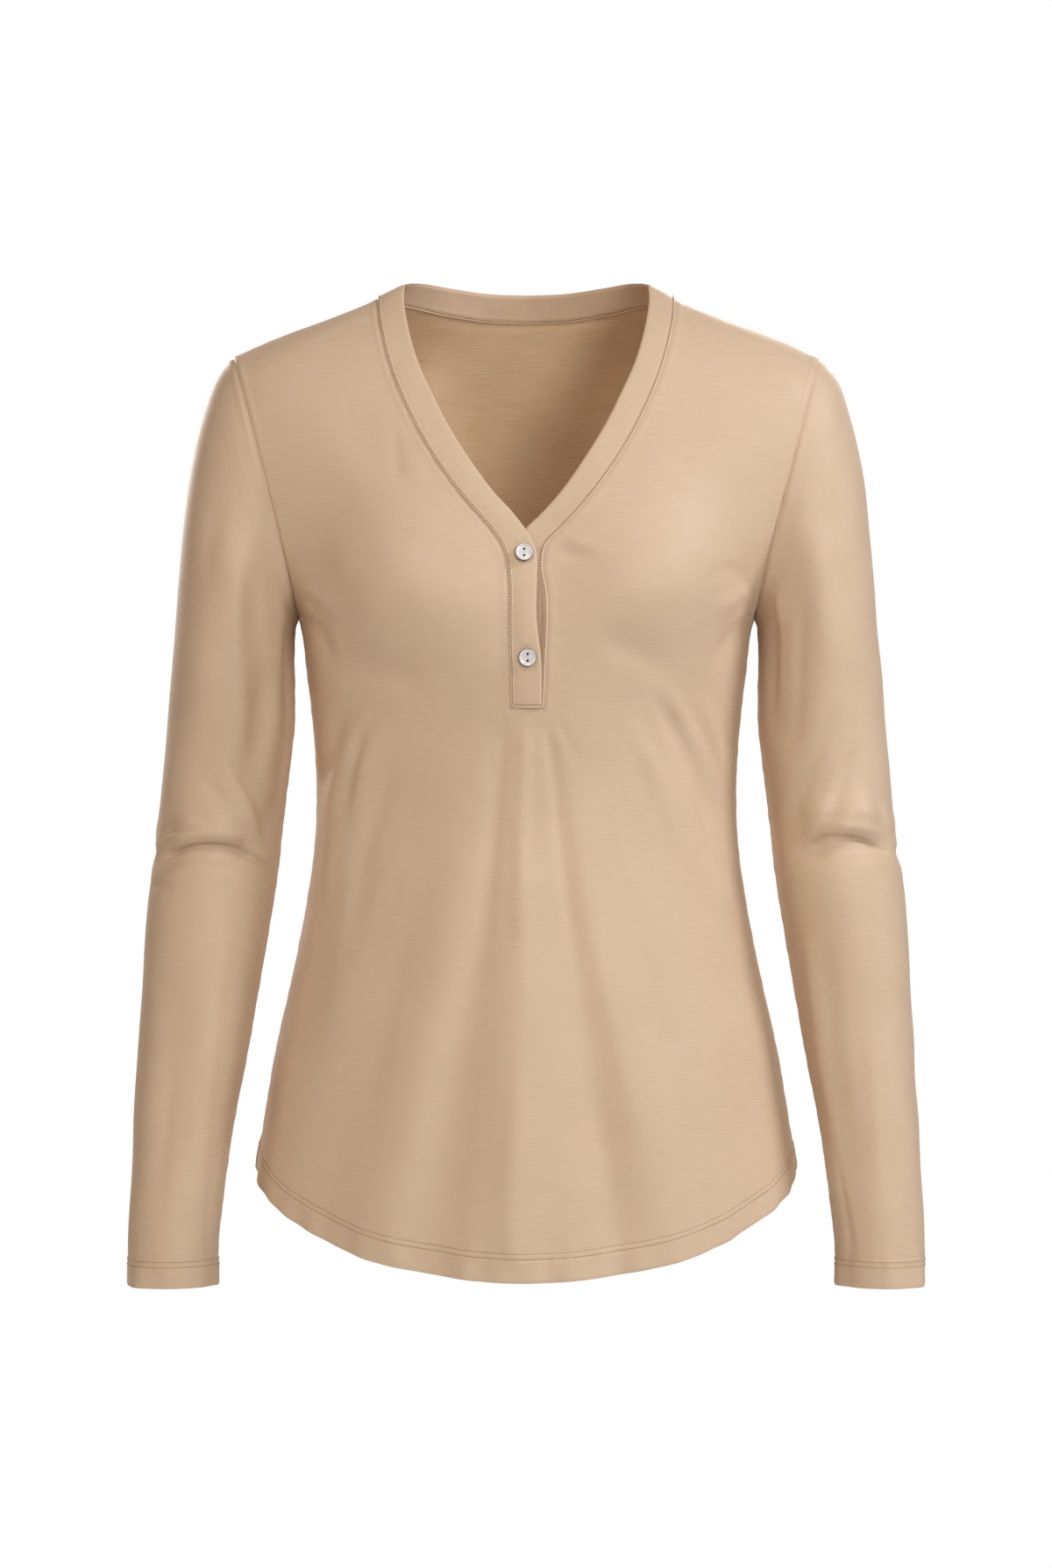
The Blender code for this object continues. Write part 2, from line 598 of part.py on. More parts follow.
def set_back(points, faces, distance):
    """Moves the rim's points into the panel, so that it stops short of its seams."""
    rim = boundary(faces)
    pushes = {}
    for a, b in rim:
        face = next(f for f in faces if a in f and b in f)
        edge = points[b] - points[a]
        edge = edge / np.linalg.norm(edge)
        inner = points[list(face)].mean(axis=0) - (points[a] + points[b]) / 2
        inner = inner - edge * np.dot(inner, edge)
        inner = inner / np.linalg.norm(inner)
        for corner in (a, b):
            pushes.setdefault(corner, []).append(inner)
    moved = points.copy()
    for corner, inners in pushes.items():
        total = sum(inners)
        length = np.linalg.norm(total)
        spread = max(length / len(inners), SET_BACK_LIMIT)
        moved[corner] = points[corner] + total / length * distance / spread
    return moved


def wall_object(name, points, faces, out_offsets, in_offsets, material, group):
    """A closed wall between an outer and an inner copy of a surface, as an object."""
    used = sorted({i for face in faces for i in face})
    place = {old: new for new, old in enumerate(used)}
    outer = (points + out_offsets)[used]
    inner = (points + in_offsets)[used]
    count = len(used)
    verts = np.concatenate([outer, inner]) * MM
    quads = [tuple(place[i] for i in face) for face in faces]
    shell = list(quads)
    shell += [tuple(count + i for i in reversed(face)) for face in quads]
    shell += [(b, a, count + a, count + b) for a, b in boundary(quads)]
    mesh = bpy.data.meshes.new(name)
    mesh.from_pydata([tuple(v) for v in verts], [], shell)
    mesh.validate()
    mesh.materials.append(material)
    mesh.shade_smooth()
    mesh.set_sharp_from_angle(angle=math.radians(SHARP_EDGE))
    thing = bpy.data.objects.new(name, mesh)
    group.objects.link(thing)
    return thing


def with_midpoints(points):
    """A row of points with the middle of each stretch put between them."""
    middles = (points[1:] + points[:-1]) / 2
    out = np.zeros((2 * len(points) - 1, points.shape[1]))
    out[::2] = points
    out[1::2] = middles
    return out


def front_band(sign, lift):
    """Seam points, fold points and lift of the neckband along one half of the front and its lap.

    The seam points lie on the straight stretches between the ends of the front's rows.
    """
    read, _, climb, _ = neck_half(sign)
    lengths = neck_row_lengths(sign)
    seam_x, seam_z = read(lengths)[:2]
    seam = with_midpoints(body_point(angle_at(seam_x, seam_z, "front"), seam_z, "front"))
    at = with_midpoints(lengths[:, None])[:, 0]
    fold_x, fold_z = read(at)[2:]
    fold = body_point(angle_at(fold_x, fold_z, "front"), fold_z, "front")
    shoulder = dict(zip(BACK_NECK_COLUMNS, BACK_NECK[0]))
    fold[0] = (sign * shoulder["fold_x"], shoulder["fold_y"], shoulder["fold_z"])
    return seam, fold, lift * smoothstep((at - (climb - LIFT_SPAN)) / LIFT_SPAN)


def back_band(sign):
    """Seam and fold points of half of the neckband's back, from the high shoulder point to centre back."""
    turns = np.linspace(0.0, 90.0, BACK_NECK_STEPS + 1)
    seam_z = curve(BACK_NECK, BACK_NECK_COLUMNS, "seam_z", turns)
    seam = with_midpoints(body_point(sign * np.radians(90.0 - turns), seam_z, "back"))
    at = with_midpoints(turns[:, None])[:, 0]
    fold_axes = ("fold_x", "fold_y", "fold_z")
    fold = np.stack([curve(BACK_NECK, BACK_NECK_COLUMNS, key, at) for key in fold_axes], axis=-1)
    return seam, fold * np.array([sign, 1.0, 1.0])


def neckband_sections():
    """Seam points, fold points and lift of the neckband from the overlap's foot to the underlap's foot."""
    overlap = front_band(-1.0, OVERLAP_LIFT)
    underlap = front_band(1.0, UNDERLAP_LIFT)
    right, left = back_band(-1.0), back_band(1.0)
    seams = np.concatenate([overlap[0][::-1], right[0][1:], left[0][::-1][1:], underlap[0][1:]])
    folds = np.concatenate([overlap[1][::-1], right[1][1:], left[1][::-1][1:], underlap[1][1:]])
    lifts = np.concatenate([overlap[2][::-1], np.zeros(2 * len(right[0]) - 2), underlap[2][1:]])
    return seams, folds, lifts


def neckband_walls():
    """The neckband's points in rows of three from seam to fold, with the offsets of its two faces."""
    seams, folds, lifts = neckband_sections()
    middles = (seams + folds) / 2
    points = np.stack([seams, middles, folds], axis=1).reshape(-1, 3)
    faces = outward(points, grid_faces(len(seams), 3, False))
    normals = np.cross(np.gradient(middles, axis=0), folds - seams)
    normals /= np.linalg.norm(normals, axis=1)[:, None]
    away = middles - np.array(NECK_MIDDLE)
    normals *= np.sign(np.sum(normals * away, axis=1))[:, None]
    normals = np.repeat(normals, 3, axis=0)
    lifts = np.repeat(lifts, 3)[:, None]
    points = set_back(points, faces, SEAM_GAP / 2)
    return points, faces, normals * (lifts + BAND_WALL / 2), normals * (lifts - BAND_WALL / 2)


def button_seat(x, z, points, out_side):
    """Where a button's back lies on the overlap, and the direction that it faces."""
    centre = body_point(angle_at(x, z, "front"), np.array(z), "front")
    face = points + out_side
    near = face[np.linalg.norm(face - centre, axis=1) < BUTTON_REACH]
    middle = near.mean(axis=0)
    normal = np.linalg.svd(near - middle)[2][2]
    normal = -normal if normal[1] > 0 else normal
    seat = centre + normal * (np.max((near - centre) @ normal) + SEAM_GAP)
    return seat, normal


def button(name, seat, normal, material, group, cutters):
    """A round two-hole button with a raised rim and a dished face, lying on the overlap."""
    radii = column(BUTTON_PROFILE, BUTTON_PROFILE_COLUMNS, "radius") * MM
    heights = column(BUTTON_PROFILE, BUTTON_PROFILE_COLUMNS, "height") * MM
    mesh = bpy.data.meshes.new(name)
    edges = [(i, i + 1) for i in range(len(BUTTON_PROFILE) - 1)]
    mesh.from_pydata([(r, 0.0, h) for r, h in zip(radii, heights)], edges, [])
    mesh.materials.append(material)
    thing = bpy.data.objects.new(name, mesh)
    group.objects.link(thing)
    turn = thing.modifiers.new("turned", "SCREW")
    turn.steps = BUTTON_SEGMENTS
    turn.render_steps = BUTTON_SEGMENTS
    turn.use_merge_vertices = True
    turn.merge_threshold = BUTTON_WELD * MM
    turn.use_smooth_shade = True
    hole_mesh = bpy.data.meshes.new(name + "_holes")
    shape = bmesh.new()
    half_step = Matrix.Rotation(math.pi / BUTTON_HOLE_SEGMENTS, 4, "Z")
    for offset in (-BUTTON_HOLE_SPACING / 2, BUTTON_HOLE_SPACING / 2):
        bmesh.ops.create_cone(
            shape,
            cap_ends=True,
            segments=BUTTON_HOLE_SEGMENTS,
            radius1=BUTTON_HOLE_RADIUS * MM,
            radius2=BUTTON_HOLE_RADIUS * MM,
            depth=3 * BUTTON_THICKNESS * MM,
            matrix=Matrix.Translation(Vector((0.0, offset, BUTTON_THICKNESS / 2)) * MM) @ half_step,
        )
    shape.to_mesh(hole_mesh)
    shape.free()
    holes = bpy.data.objects.new(name + "_holes", hole_mesh)
    holes.hide_render = True
    holes.display_type = "WIRE"
    cutters.objects.link(holes)
    cut = thing.modifiers.new("holes", "BOOLEAN")
    cut.operation = "DIFFERENCE"
    cut.solver = "EXACT"
    cut.object = holes
    for item in (thing, holes):
        item.rotation_euler = Vector(normal).to_track_quat("Z", "Y").to_euler()
        item.location = Vector(seat) * MM


def principled(name, colour, roughness):
    """A plain Principled material."""
    material = bpy.data.materials.new(name)
    material.use_nodes = True
    shader = material.node_tree.nodes["Principled BSDF"]
    shader.inputs["Base Color"].default_value = colour
    shader.inputs["Roughness"].default_value = roughness
    shader.inputs["Metallic"].default_value = 0.0
    material.diffuse_color = colour
    return material


def main():
    for thing in list(bpy.data.objects):
        bpy.data.objects.remove(thing, do_unlink=True)
    group = bpy.data.collections.new("blouse")
    cutters = bpy.data.collections.new("cutters")
    for collection in (group, cutters):
        bpy.context.scene.collection.children.link(collection)
    finishes = {name: principled(name, *values) for name, values in MATERIALS.items()}
    panels = {
        "front": front_surface(),
        "back": back_surface(),
        "sleeve_right": sleeve_surface("sleeve_right"),
        "sleeve_left": sleeve_surface("sleeve_left"),
    }
    panels = {name: (points, outward(points, faces)) for name, (points, faces) in panels.items()}
    offsets = seam_offsets(panels)
    for name, (points, faces) in panels.items():
        short = set_back(points, faces, SEAM_GAP / 2)
        inwards = -CLOTH_WALL * offsets[name]
        wall_object(name, short, faces, 0.0 * inwards, inwards, finishes["jersey"], group)
    points, faces, out_side, in_side = neckband_walls()
    wall_object("neckband", points, faces, out_side, in_side, finishes["band"], group)
    for name, (x, z) in BUTTONS.items():
        seat, normal = button_seat(x, z, points, out_side)
        button(name, seat, normal, finishes["pearl"], group, cutters)


main()
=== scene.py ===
"""Looks of the blouse: jersey panels with their folds, the neckband, buttons, sewing and a plain studio.

Sizes are in millimetres and meshes are made in metres. +Z is up, the front faces -Y and the wearer's left is
at +X. Every panel lies on the same garment surface as its solid, on a finer grid with the smaller creases.
"""

import logging
import math
from dataclasses import dataclass, replace
from enum import Enum

import bpy
import numpy as np
from mathutils import Matrix, Vector


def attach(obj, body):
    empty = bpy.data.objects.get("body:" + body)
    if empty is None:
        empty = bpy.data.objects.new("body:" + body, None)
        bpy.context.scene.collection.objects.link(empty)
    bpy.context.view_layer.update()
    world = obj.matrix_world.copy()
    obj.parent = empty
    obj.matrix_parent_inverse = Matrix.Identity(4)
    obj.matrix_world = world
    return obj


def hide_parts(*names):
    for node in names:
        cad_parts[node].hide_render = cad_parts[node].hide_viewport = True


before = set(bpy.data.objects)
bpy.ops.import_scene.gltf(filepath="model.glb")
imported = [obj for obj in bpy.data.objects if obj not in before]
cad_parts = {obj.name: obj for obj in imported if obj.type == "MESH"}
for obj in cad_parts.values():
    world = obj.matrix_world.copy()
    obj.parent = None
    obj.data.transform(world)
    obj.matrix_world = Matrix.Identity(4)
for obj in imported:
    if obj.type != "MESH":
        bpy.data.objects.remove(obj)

LOG = logging.getLogger("blouse")
MM = 0.001
TINY = 1e-9
# place in front of the blouse, in metres, from which rays look for the band
RAY_FROM = -0.3
BODY = "root"
Array = np.ndarray


class Side(Enum):
    """The two halves of the body's sections."""

    FRONT = "front"
    BACK = "back"

    def sign(self) -> float:
        """-1 at the front, which faces -Y, and 1 at the back."""
        return -1.0 if self is Side.FRONT else 1.0


# ---- Curves and fields ----


def smooth(knots: Array, values: Array, at: Array) -> Array:
    """A smooth curve through the values at the knots.

    Args:
        knots: rising or falling places.
        values: the curve's value at each knot.
        at: where the curve is read.

    Returns:
        The curve's values there.
    """
    knots = np.asarray(knots, dtype=float)
    values = np.asarray(values, dtype=float)
    if knots[0] > knots[-1]:
        knots, values = knots[::-1], values[::-1]
    at = np.clip(np.asarray(at, dtype=float), knots[0], knots[-1])
    slopes = np.gradient(values, knots)
    k = np.clip(np.searchsorted(knots, at) - 1, 0, len(knots) - 2)
    span = knots[k + 1] - knots[k]
    t = (at - knots[k]) / span
    start = (1 + 2 * t) * (1 - t) ** 2 * values[k] + t * (1 - t) ** 2 * span * slopes[k]
    end = t * t * (3 - 2 * t) * values[k + 1] + t * t * (t - 1) * span * slopes[k + 1]
    return start + end


def curve(rows: list, names: tuple, name: str, at: Array) -> Array:
    """A table's column as a smooth curve over its first column, read at the given places."""
    table = np.array(rows, dtype=float)
    return smooth(table[:, 0], table[:, names.index(name)], at)


def step(t: Array) -> Array:
    """A soft step from 0 to 1."""
    t = np.clip(t, 0.0, 1.0)
    return t * t * (3 - 2 * t)


def bell(t: Array) -> Array:
    """A soft bump, 1 at 0 and gone at about 2 either way."""
    return np.exp(-(np.asarray(t) ** 2))


def gathered(count: int, pull: float) -> Array:
    """Shares from 0 to 1 that lie closer together at both ends.

    Args:
        count: number of stretches.
        pull: from 0, even, to 1, where the end stretches vanish.

    Returns:
        The shares, one more than the stretches.
    """
    t = np.linspace(0.0, 1.0, count + 1)
    return t - pull * np.sin(2 * math.pi * t) / (2 * math.pi)


def unit(vectors: Array) -> Array:
    """Vectors made one long."""
    return vectors / np.maximum(np.linalg.norm(vectors, axis=-1, keepdims=True), TINY)


def down_columns(points: Array) -> Array:
    """Length gone at each point, down every column of a grid of points."""
    gone = np.cumsum(np.linalg.norm(np.diff(points, axis=0), axis=2), axis=0)
    return np.concatenate([np.zeros((1, points.shape[1])), gone])


def along_line(line: Array) -> Array:
    """Length gone at each point of a line."""
    return down_columns(line[:, None])[:, 0]


def along_flat(x: Array, z: Array) -> Array:
    """Length gone at each point of a line as it looks from the front."""
    return np.concatenate([[0.0], np.cumsum(np.hypot(np.diff(x), np.diff(z)))])


def read_at(places: Array, gone: Array, values: Array) -> Array:
    """Points or directions of a line, read at lengths along it."""
    return np.stack([np.interp(places, gone, column) for column in values.T], 1)


def waves(at: Array, seed: int, lengths: tuple) -> Array:
    """A soft wandering line of waves.

    Args:
        at: places along the line.
        seed: which of the lines.
        lengths: wavelengths that are added up.

    Returns:
        Values of about -1 to 1.
    """
    rng = np.random.default_rng(seed)
    total = np.zeros_like(at, dtype=float)
    for length in lengths:
        total += np.sin(at * 2 * math.pi / length + rng.uniform(0, 2 * math.pi)) / len(lengths) ** 0.5
    return total


def swell(u: Array, v: Array, seed: int, length: float, count: int = 9) -> Array:
    """A soft uneven surface from waves in all directions.

    Args:
        u: places across.
        v: places along.
        seed: which of the surfaces.
        length: typical wavelength.
        count: number of waves.

    Returns:
        Values of about -1 to 1.
    """
    rng = np.random.default_rng(seed)
    shortest, longest = 0.7, 1.5
    total = np.zeros(np.broadcast(u, v).shape)
    for _ in range(count):
        heading = rng.uniform(0, math.pi)
        wave = length * rng.uniform(shortest, longest)
        across = u * math.cos(heading) + v * math.sin(heading)
        total += np.sin(across * 2 * math.pi / wave + rng.uniform(0, 2 * math.pi))
    return total / count**0.5


@dataclass(frozen=True)
class Crease:
    """One soft ridge or trough on a bowed line between two places of a panel.

    The tables of creases give these fields in this order. Both ends are in mm across and along the panel, a
    trough has a negative height, and a crease fades in and out over shares of its length.
    """

    u_top: float
    v_top: float
    u_low: float
    v_low: float
    bow: float
    width: float
    height: float
    lean: float
    fade_top: float
    fade_low: float

    WANDER = 0.18
    WANDER_TURN = 7.0
    TOP_WIDTH = 0.75
    WIDENING = 0.5

    def lift(self, u: Array, v: Array) -> Array:
        """Height that this crease adds.

        Args:
            u: places across.
            v: places along.

        Returns:
            The height at each place, in mm.
        """
        along = np.array([self.u_low - self.u_top, self.v_low - self.v_top])
        length = math.hypot(*along)
        du, dv = u - self.u_top, v - self.v_top
        share = (du * along[0] + dv * along[1]) / length**2
        apart = (du * along[1] - dv * along[0]) / length
        held = np.clip(share, 0.0, 1.0)
        apart = apart - self.bow * 4 * held * (1 - held)
        apart = apart - self.WANDER * self.width * np.sin(held * self.WANDER_TURN + self.u_top)
        width = self.width * np.where(apart > 0, 1 + self.lean, 1 - self.lean)
        width = width * (self.TOP_WIDTH + self.WIDENING * held)
        fade = step(share / self.fade_top) * step((1 - share) / self.fade_low)
        return self.height * fade * bell(apart / width)


def creased(rows: list, u: Array, v: Array) -> Array:
    """Sum of a table of creases.

    Args:
        rows: the creases, each in the order of Crease's fields.
        u: places across.
        v: places along.

    Returns:
        The height at each place, in mm.
    """
    total = np.zeros(np.broadcast(u, v).shape)
    for row in rows:
        total = total + Crease(*row).lift(u, v)
    return total


# ---- The garment surface ----


@dataclass(frozen=True)
class BodyCut:
    """The body's surface: sections at every height, with their largest folds, as the solids have them."""

    shoulder_seam_y: float = -7.0
    shoulder_tip: tuple = (193.2, -38.5)
    underarm: tuple = (150.0, -209.0)
    armhole_bow: float = 3.0
    neck_point: tuple = (97.0, 2.0)
    side_hem_z: float = -571.4
    hem_drop: float = 63.4
    hem_power: float = 1.25
    placket_foot_z: float = -269.6
    hem_level: float = -600.0
    fold_fade: float = 0.3
    hem_fold_fade: float = 0.75
    degree: float = 2.5
    calm: float = 45.0
    calm_turn: float = 0.45
    radian_width: float = 145.0

    REACH = {Side.FRONT: 57.0, Side.BACK: 60.0}
    SHOULDER_COLUMNS = ("z", "half_width")
    SHOULDER = [(16, 68), (10.4, 80), (2, 97), (-11.6, 129.8), (-26.6, 168), (-38.5, 193.2)]
    SIDE_COLUMNS = ("z", "half_width")
    SIDE = [
        (-209, 150), (-218, 147.4), (-232, 145), (-253, 142.8), (-280, 140.3),
        (-304, 138.6), (-332, 138), (-360, 139.4), (-397, 144.7), (-440, 153),
        (-495, 165.3), (-540, 172.8), (-571.4, 177.7), (-640, 183),
    ]
    DEPTH_COLUMNS = ("z", "front", "back")
    DEPTH = [
        (16, 20, 66), (2, 32, 71), (-8, 42, 75), (-22, 54, 82),
        (-38.5, 65, 89), (-60, 76, 96), (-100, 90, 104), (-150, 104, 107),
        (-195, 113, 105), (-235, 115, 100), (-285, 109, 90), (-332, 105, 85),
        (-390, 110, 94), (-460, 117, 109), (-540, 122, 119), (-640, 125, 123),
    ]
    BUST = {"x": 80.0, "z": -192.0, "rise": 19.0, "spread_x": 50.0, "spread_up": 62.0, "spread_down": 46.0}
    FOLD_COLUMNS = ("turn_top", "z_top", "turn_low", "z_low", "width", "height")
    FOLDS = [
        (-7.5, -290, -21, -640, 15, -5.2), (-0.5, -290, -3, -640, 15, 3.6),
        (6, -290, 20, -640, 15, -4.8), (-14, -300, -33, -640, 18, 3.4),
        (11, -300, 34, -640, 18, 3.2), (-44, -272, -70, -400, 17, 4),
        (42, -296, 66, -420, 17, 3.8), (-24, -330, -51, -640, 19, -2.8),
        (54, -440, 54, -640, 22, -2.6), (168, -240, 164, -640, 26, -4.4),
        (191, -230, 197, -640, 26, -4.2), (180, -330, 180, -640, 24, 3),
        (138, -360, 132, -640, 26, 3.8), (222, -370, 229, -640, 26, 3.6),
        (114, -280, 150, -350, 18, 3.4), (246, -290, 209, -344, 18, 3.4),
    ]

    def armhole_span(self) -> tuple[float, float]:
        """Middle and half of the armhole's height."""
        return (self.shoulder_tip[1] + self.underarm[1]) / 2, (self.shoulder_tip[1] - self.underarm[1]) / 2

    def turn(self, z: Array) -> Array:
        """Angle round the armhole at a height: 0 at the shoulder seam, pi at the underarm."""
        middle, half = self.armhole_span()
        return np.arccos(np.clip((np.asarray(z, dtype=float) - middle) / half, -1.0, 1.0))

    def armhole_z(self, turn: Array) -> Array:
        """Height of the armhole seam at an angle round it."""
        middle, half = self.armhole_span()
        return middle + half * np.cos(turn)

    def half_width(self, z: Array) -> Array:
        """Half width of the body's panels.

        Args:
            z: heights.

        Returns:
            The half width at each height: on the shoulder, the armhole or the side.
        """
        z = np.asarray(z, dtype=float)
        shoulder = curve(self.SHOULDER, self.SHOULDER_COLUMNS, "half_width", z)
        share = (z - self.underarm[1]) / (self.shoulder_tip[1] - self.underarm[1])
        armhole = self.underarm[0] + share * (self.shoulder_tip[0] - self.underarm[0])
        armhole = armhole - self.armhole_bow * np.sin(self.turn(z))
        side = curve(self.SIDE, self.SIDE_COLUMNS, "half_width", z)
        return np.where(z > self.shoulder_tip[1], shoulder, np.where(z > self.underarm[1], armhole, side))

    def section(self, z: Array, side: Side) -> tuple[Array, Array, Array, Array]:
        """One side of the body's section.

        Args:
            z: heights.
            side: front or back.

        Returns:
            Half axis across, half axis from front to back, centre and end angle at each height.
        """
        depth = curve(self.DEPTH, self.DEPTH_COLUMNS, side.value, z)
        centre = self.shoulder_seam_y * (1 + np.cos(self.turn(z))) / 2
        deep = depth - side.sign() * centre
        end = np.arccos(np.clip(self.REACH[side] * np.sin(self.turn(z)) / deep, 0.0, 1.0))
        return self.half_width(z) / np.sin(end), deep, centre, end

    def folds(self, rows: list, turn: Array, z: Array, scale: float) -> Array:
        """Sum of the large folds' heights at places given by turn and level.

        Args:
            rows: folds, in the order of FOLD_COLUMNS.
            turn: turns in degrees.
            z: levels.
            scale: width of one degree.

        Returns:
            The heights.
        """
        total = np.zeros(np.broadcast(turn, z).shape)
        for row in rows:
            fold = dict(zip(self.FOLD_COLUMNS, row))
            along = np.array([(fold["turn_low"] - fold["turn_top"]) * scale, fold["z_low"] - fold["z_top"]])
            length = math.hypot(*along)
            dx = ((turn - fold["turn_top"] + 180.0) % 360.0 - 180.0) * scale
            dz = z - fold["z_top"]
            share = (dx * along[0] + dz * along[1]) / length**2
            apart = (dx * along[1] - dz * along[0]) / length
            if fold["z_low"] < self.hem_level:
                fade = step(share / self.hem_fold_fade)
            else:
                fade = step(share / self.fold_fade) * step((1 - share) / self.fold_fade)
            total += fold["height"] * fade * bell(apart / fold["width"])
        return total

    def point(self, angle: Array, z: Array, side: Side) -> Array:
        """Points of the front or the back.

        Args:
            angle: angles from the centre line.
            z: heights.
            side: front or back.

        Returns:
            The points, with the largest folds and the bust's plain form.
        """
        wide, deep, centre, end = self.section(z, side)
        x = wide * np.sin(angle)
        y = centre + side.sign() * deep * np.cos(angle)
        out_x, out_y = np.sin(angle) / wide, side.sign() * np.cos(angle) / deep
        size = np.hypot(out_x, out_y)
        near = step((z - self.underarm[1] + self.calm) / self.calm)
        free = 1.0 - near * (1.0 - step((end - np.abs(angle)) / self.calm_turn))
        around = np.degrees(angle) if side is Side.FRONT else 180.0 - np.degrees(angle)
        lift = self.folds(self.FOLDS, around, z, self.degree)
        if side is Side.FRONT:
            spread_z = np.where(z > self.BUST["z"], self.BUST["spread_up"], self.BUST["spread_down"])
            apart = ((np.abs(x) - self.BUST["x"]) / self.BUST["spread_x"]) ** 2
            apart = apart + ((z - self.BUST["z"]) / spread_z) ** 2
            lift = lift + self.BUST["rise"] * np.exp(-apart)
        lift = lift * free
        return np.stack([x + lift * out_x / size, y + lift * out_y / size, z + 0.0 * x], axis=-1)

    def angle_at(self, x: Array, z: Array, side: Side) -> Array:
        """The angle from the centre line at which the panel has a given x at a height."""
        wide, _, _, end = self.section(z, side)
        return np.clip(np.arcsin(np.clip(x / wide, -1.0, 1.0)), -end, end)

    def front_at(self, x: Array, z: Array) -> Array:
        """Points of the front at given x and heights."""
        return self.point(self.angle_at(x, z, Side.FRONT), z, Side.FRONT)

    def hem_z(self, angle: Array) -> Array:
        """Height of the hem at an angle from the centre line."""
        return self.side_hem_z - self.hem_drop * np.maximum(np.cos(angle), 0.0) ** self.hem_power


@dataclass(frozen=True)
class NeckCut:
    """The neckline, its band and both sides of the placket."""

    body: BodyCut = BodyCut()
    lift: float = 1.05
    lift_span: float = 46.0

    COLUMNS = ("seam_x", "seam_z", "fold_x", "fold_z")
    LINE = [
        (97, 2, 80, 10.4), (96.4, -10, 80.2, -1), (93.6, -26, 77.6, -17.6),
        (87, -50.6, 70.9, -42.8), (76.4, -76.4, 60.4, -67), (66, -96.6, 50.6, -86.8),
        (50, -121.4, 35.2, -111.8), (34.6, -141, 20.6, -132.2),
    ]
    OVERLAP = [
        (-22.4, -155.2, -8.6, -145.4), (-14.6, -167.4, 1.4, -159.2), (-11.4, -181, 6.4, -171.6),
        (-10.4, -196, 6.6, -189), (-10.6, -214, 6.3, -211), (-10.2, -240, 9.3, -239),
        (-9.4, -269.6, 9.8, -269.6),
    ]
    UNDERLAP = [
        (22.4, -154.6, 8.8, -145.6), (11.6, -166.6, -3, -158), (9.8, -180, -7, -172),
        (12.4, -196, -7.2, -190), (12.9, -214, -7.4, -211), (11.8, -240, -7.8, -239),
        (10.6, -269.6, -8, -269.6),
    ]
    SPACING = [(0, 0), (0.25, 0.17), (0.66, 0.69), (0.92, 0.90), (1, 1)]
    BACK_COLUMNS = ("turn", "seam_z", "fold_x", "fold_y", "fold_z")
    BACK = [
        (0, 2, 80, -6, 10.4), (22, 2.2, 75.3, 20.3, 14), (45, 0.2, 65.4, 41.1, 15.4),
        (62, -3.1, 48.4, 57.6, 14), (78, -6.2, 23.5, 67.3, 11.5), (90, -6.8, 0, 69.8, 10.9),
    ]

    def half(self, sign: float) -> tuple[Array, Array, int]:
        """One half of the neckline with its lap.

        Args:
            sign: 1 on the wearer's left, -1 on the right.

        Returns:
            Its rows, their lengths along the seam, and the row at which the lap starts.
        """
        lap = self.OVERLAP if sign < 0 else self.UNDERLAP
        table = np.array([(sign * a, b, sign * c, d) for a, b, c, d in self.LINE] + lap)
        return table, along_flat(table[:, 0], table[:, 1]), len(self.LINE) - 1

    def read(self, sign: float, at: Array) -> list[Array]:
        """Seam x, seam z, fold x and fold z at lengths along one half's seam."""
        table, lengths, _ = self.half(sign)
        return [smooth(lengths, table[:, i], at) for i in range(len(self.COLUMNS))]

    def row_lengths(self, sign: float, shares: Array, chest: Array) -> Array:
        """Lengths along the seam at which the front's rows start.

        Args:
            sign: 1 on the wearer's left, -1 on the right.
            shares: rows beside the armhole, as shares of the turn round it.
            chest: rows below it, as shares of the way down to the placket's foot.

        Returns:
            The lengths, from the shoulder to the placket's foot.
        """
        table, lengths, _ = self.half(sign)
        level = np.interp(-self.body.underarm[1], -table[:, 1], lengths)
        knots, values = np.array(self.SPACING).T
        below = level + (lengths[-1] - level) * chest
        return np.concatenate([np.interp(shares, knots, values) * level, below])


# ---- Materials ----


def linear(colour: str) -> tuple[float, float, float, float]:
    """An sRGB hex colour as linear red, green, blue and alpha."""
    parts = [int(colour[i : i + 2], 16) / 255 for i in (1, 3, 5)]
    return tuple(p / 12.92 if p <= 0.04045 else ((p + 0.055) / 1.055) ** 2.4 for p in parts) + (1.0,)


def add_node(tree: bpy.types.NodeTree, kind: str, settings: dict, links: dict) -> bpy.types.Node:
    """Adds a node with its settings and links.

    Args:
        tree: the material's node tree.
        kind: the node's type name.
        settings: properties by name, or input sockets by name or number, with their values.
        links: input sockets by name or number, each with the output socket that feeds it.

    Returns:
        The node.
    """
    node = tree.nodes.new(kind)
    for name, value in settings.items():
        if isinstance(name, int) or name in node.inputs:
            node.inputs[name].default_value = value
        else:
            setattr(node, name, value)
    for name, source in links.items():
        tree.links.new(source, node.inputs[name])
    return node


def blank_material(name: str) -> tuple[bpy.types.Material, bpy.types.NodeTree, bpy.types.Node]:
    """Makes a material that has no shader yet.

    Args:
        name: the material's name.

    Returns:
        The material, its node tree and its output node.
    """
    material = bpy.data.materials.new(name)
    material.use_nodes = True
    tree = material.node_tree
    tree.nodes.clear()
    return material, tree, tree.nodes.new("ShaderNodeOutputMaterial")


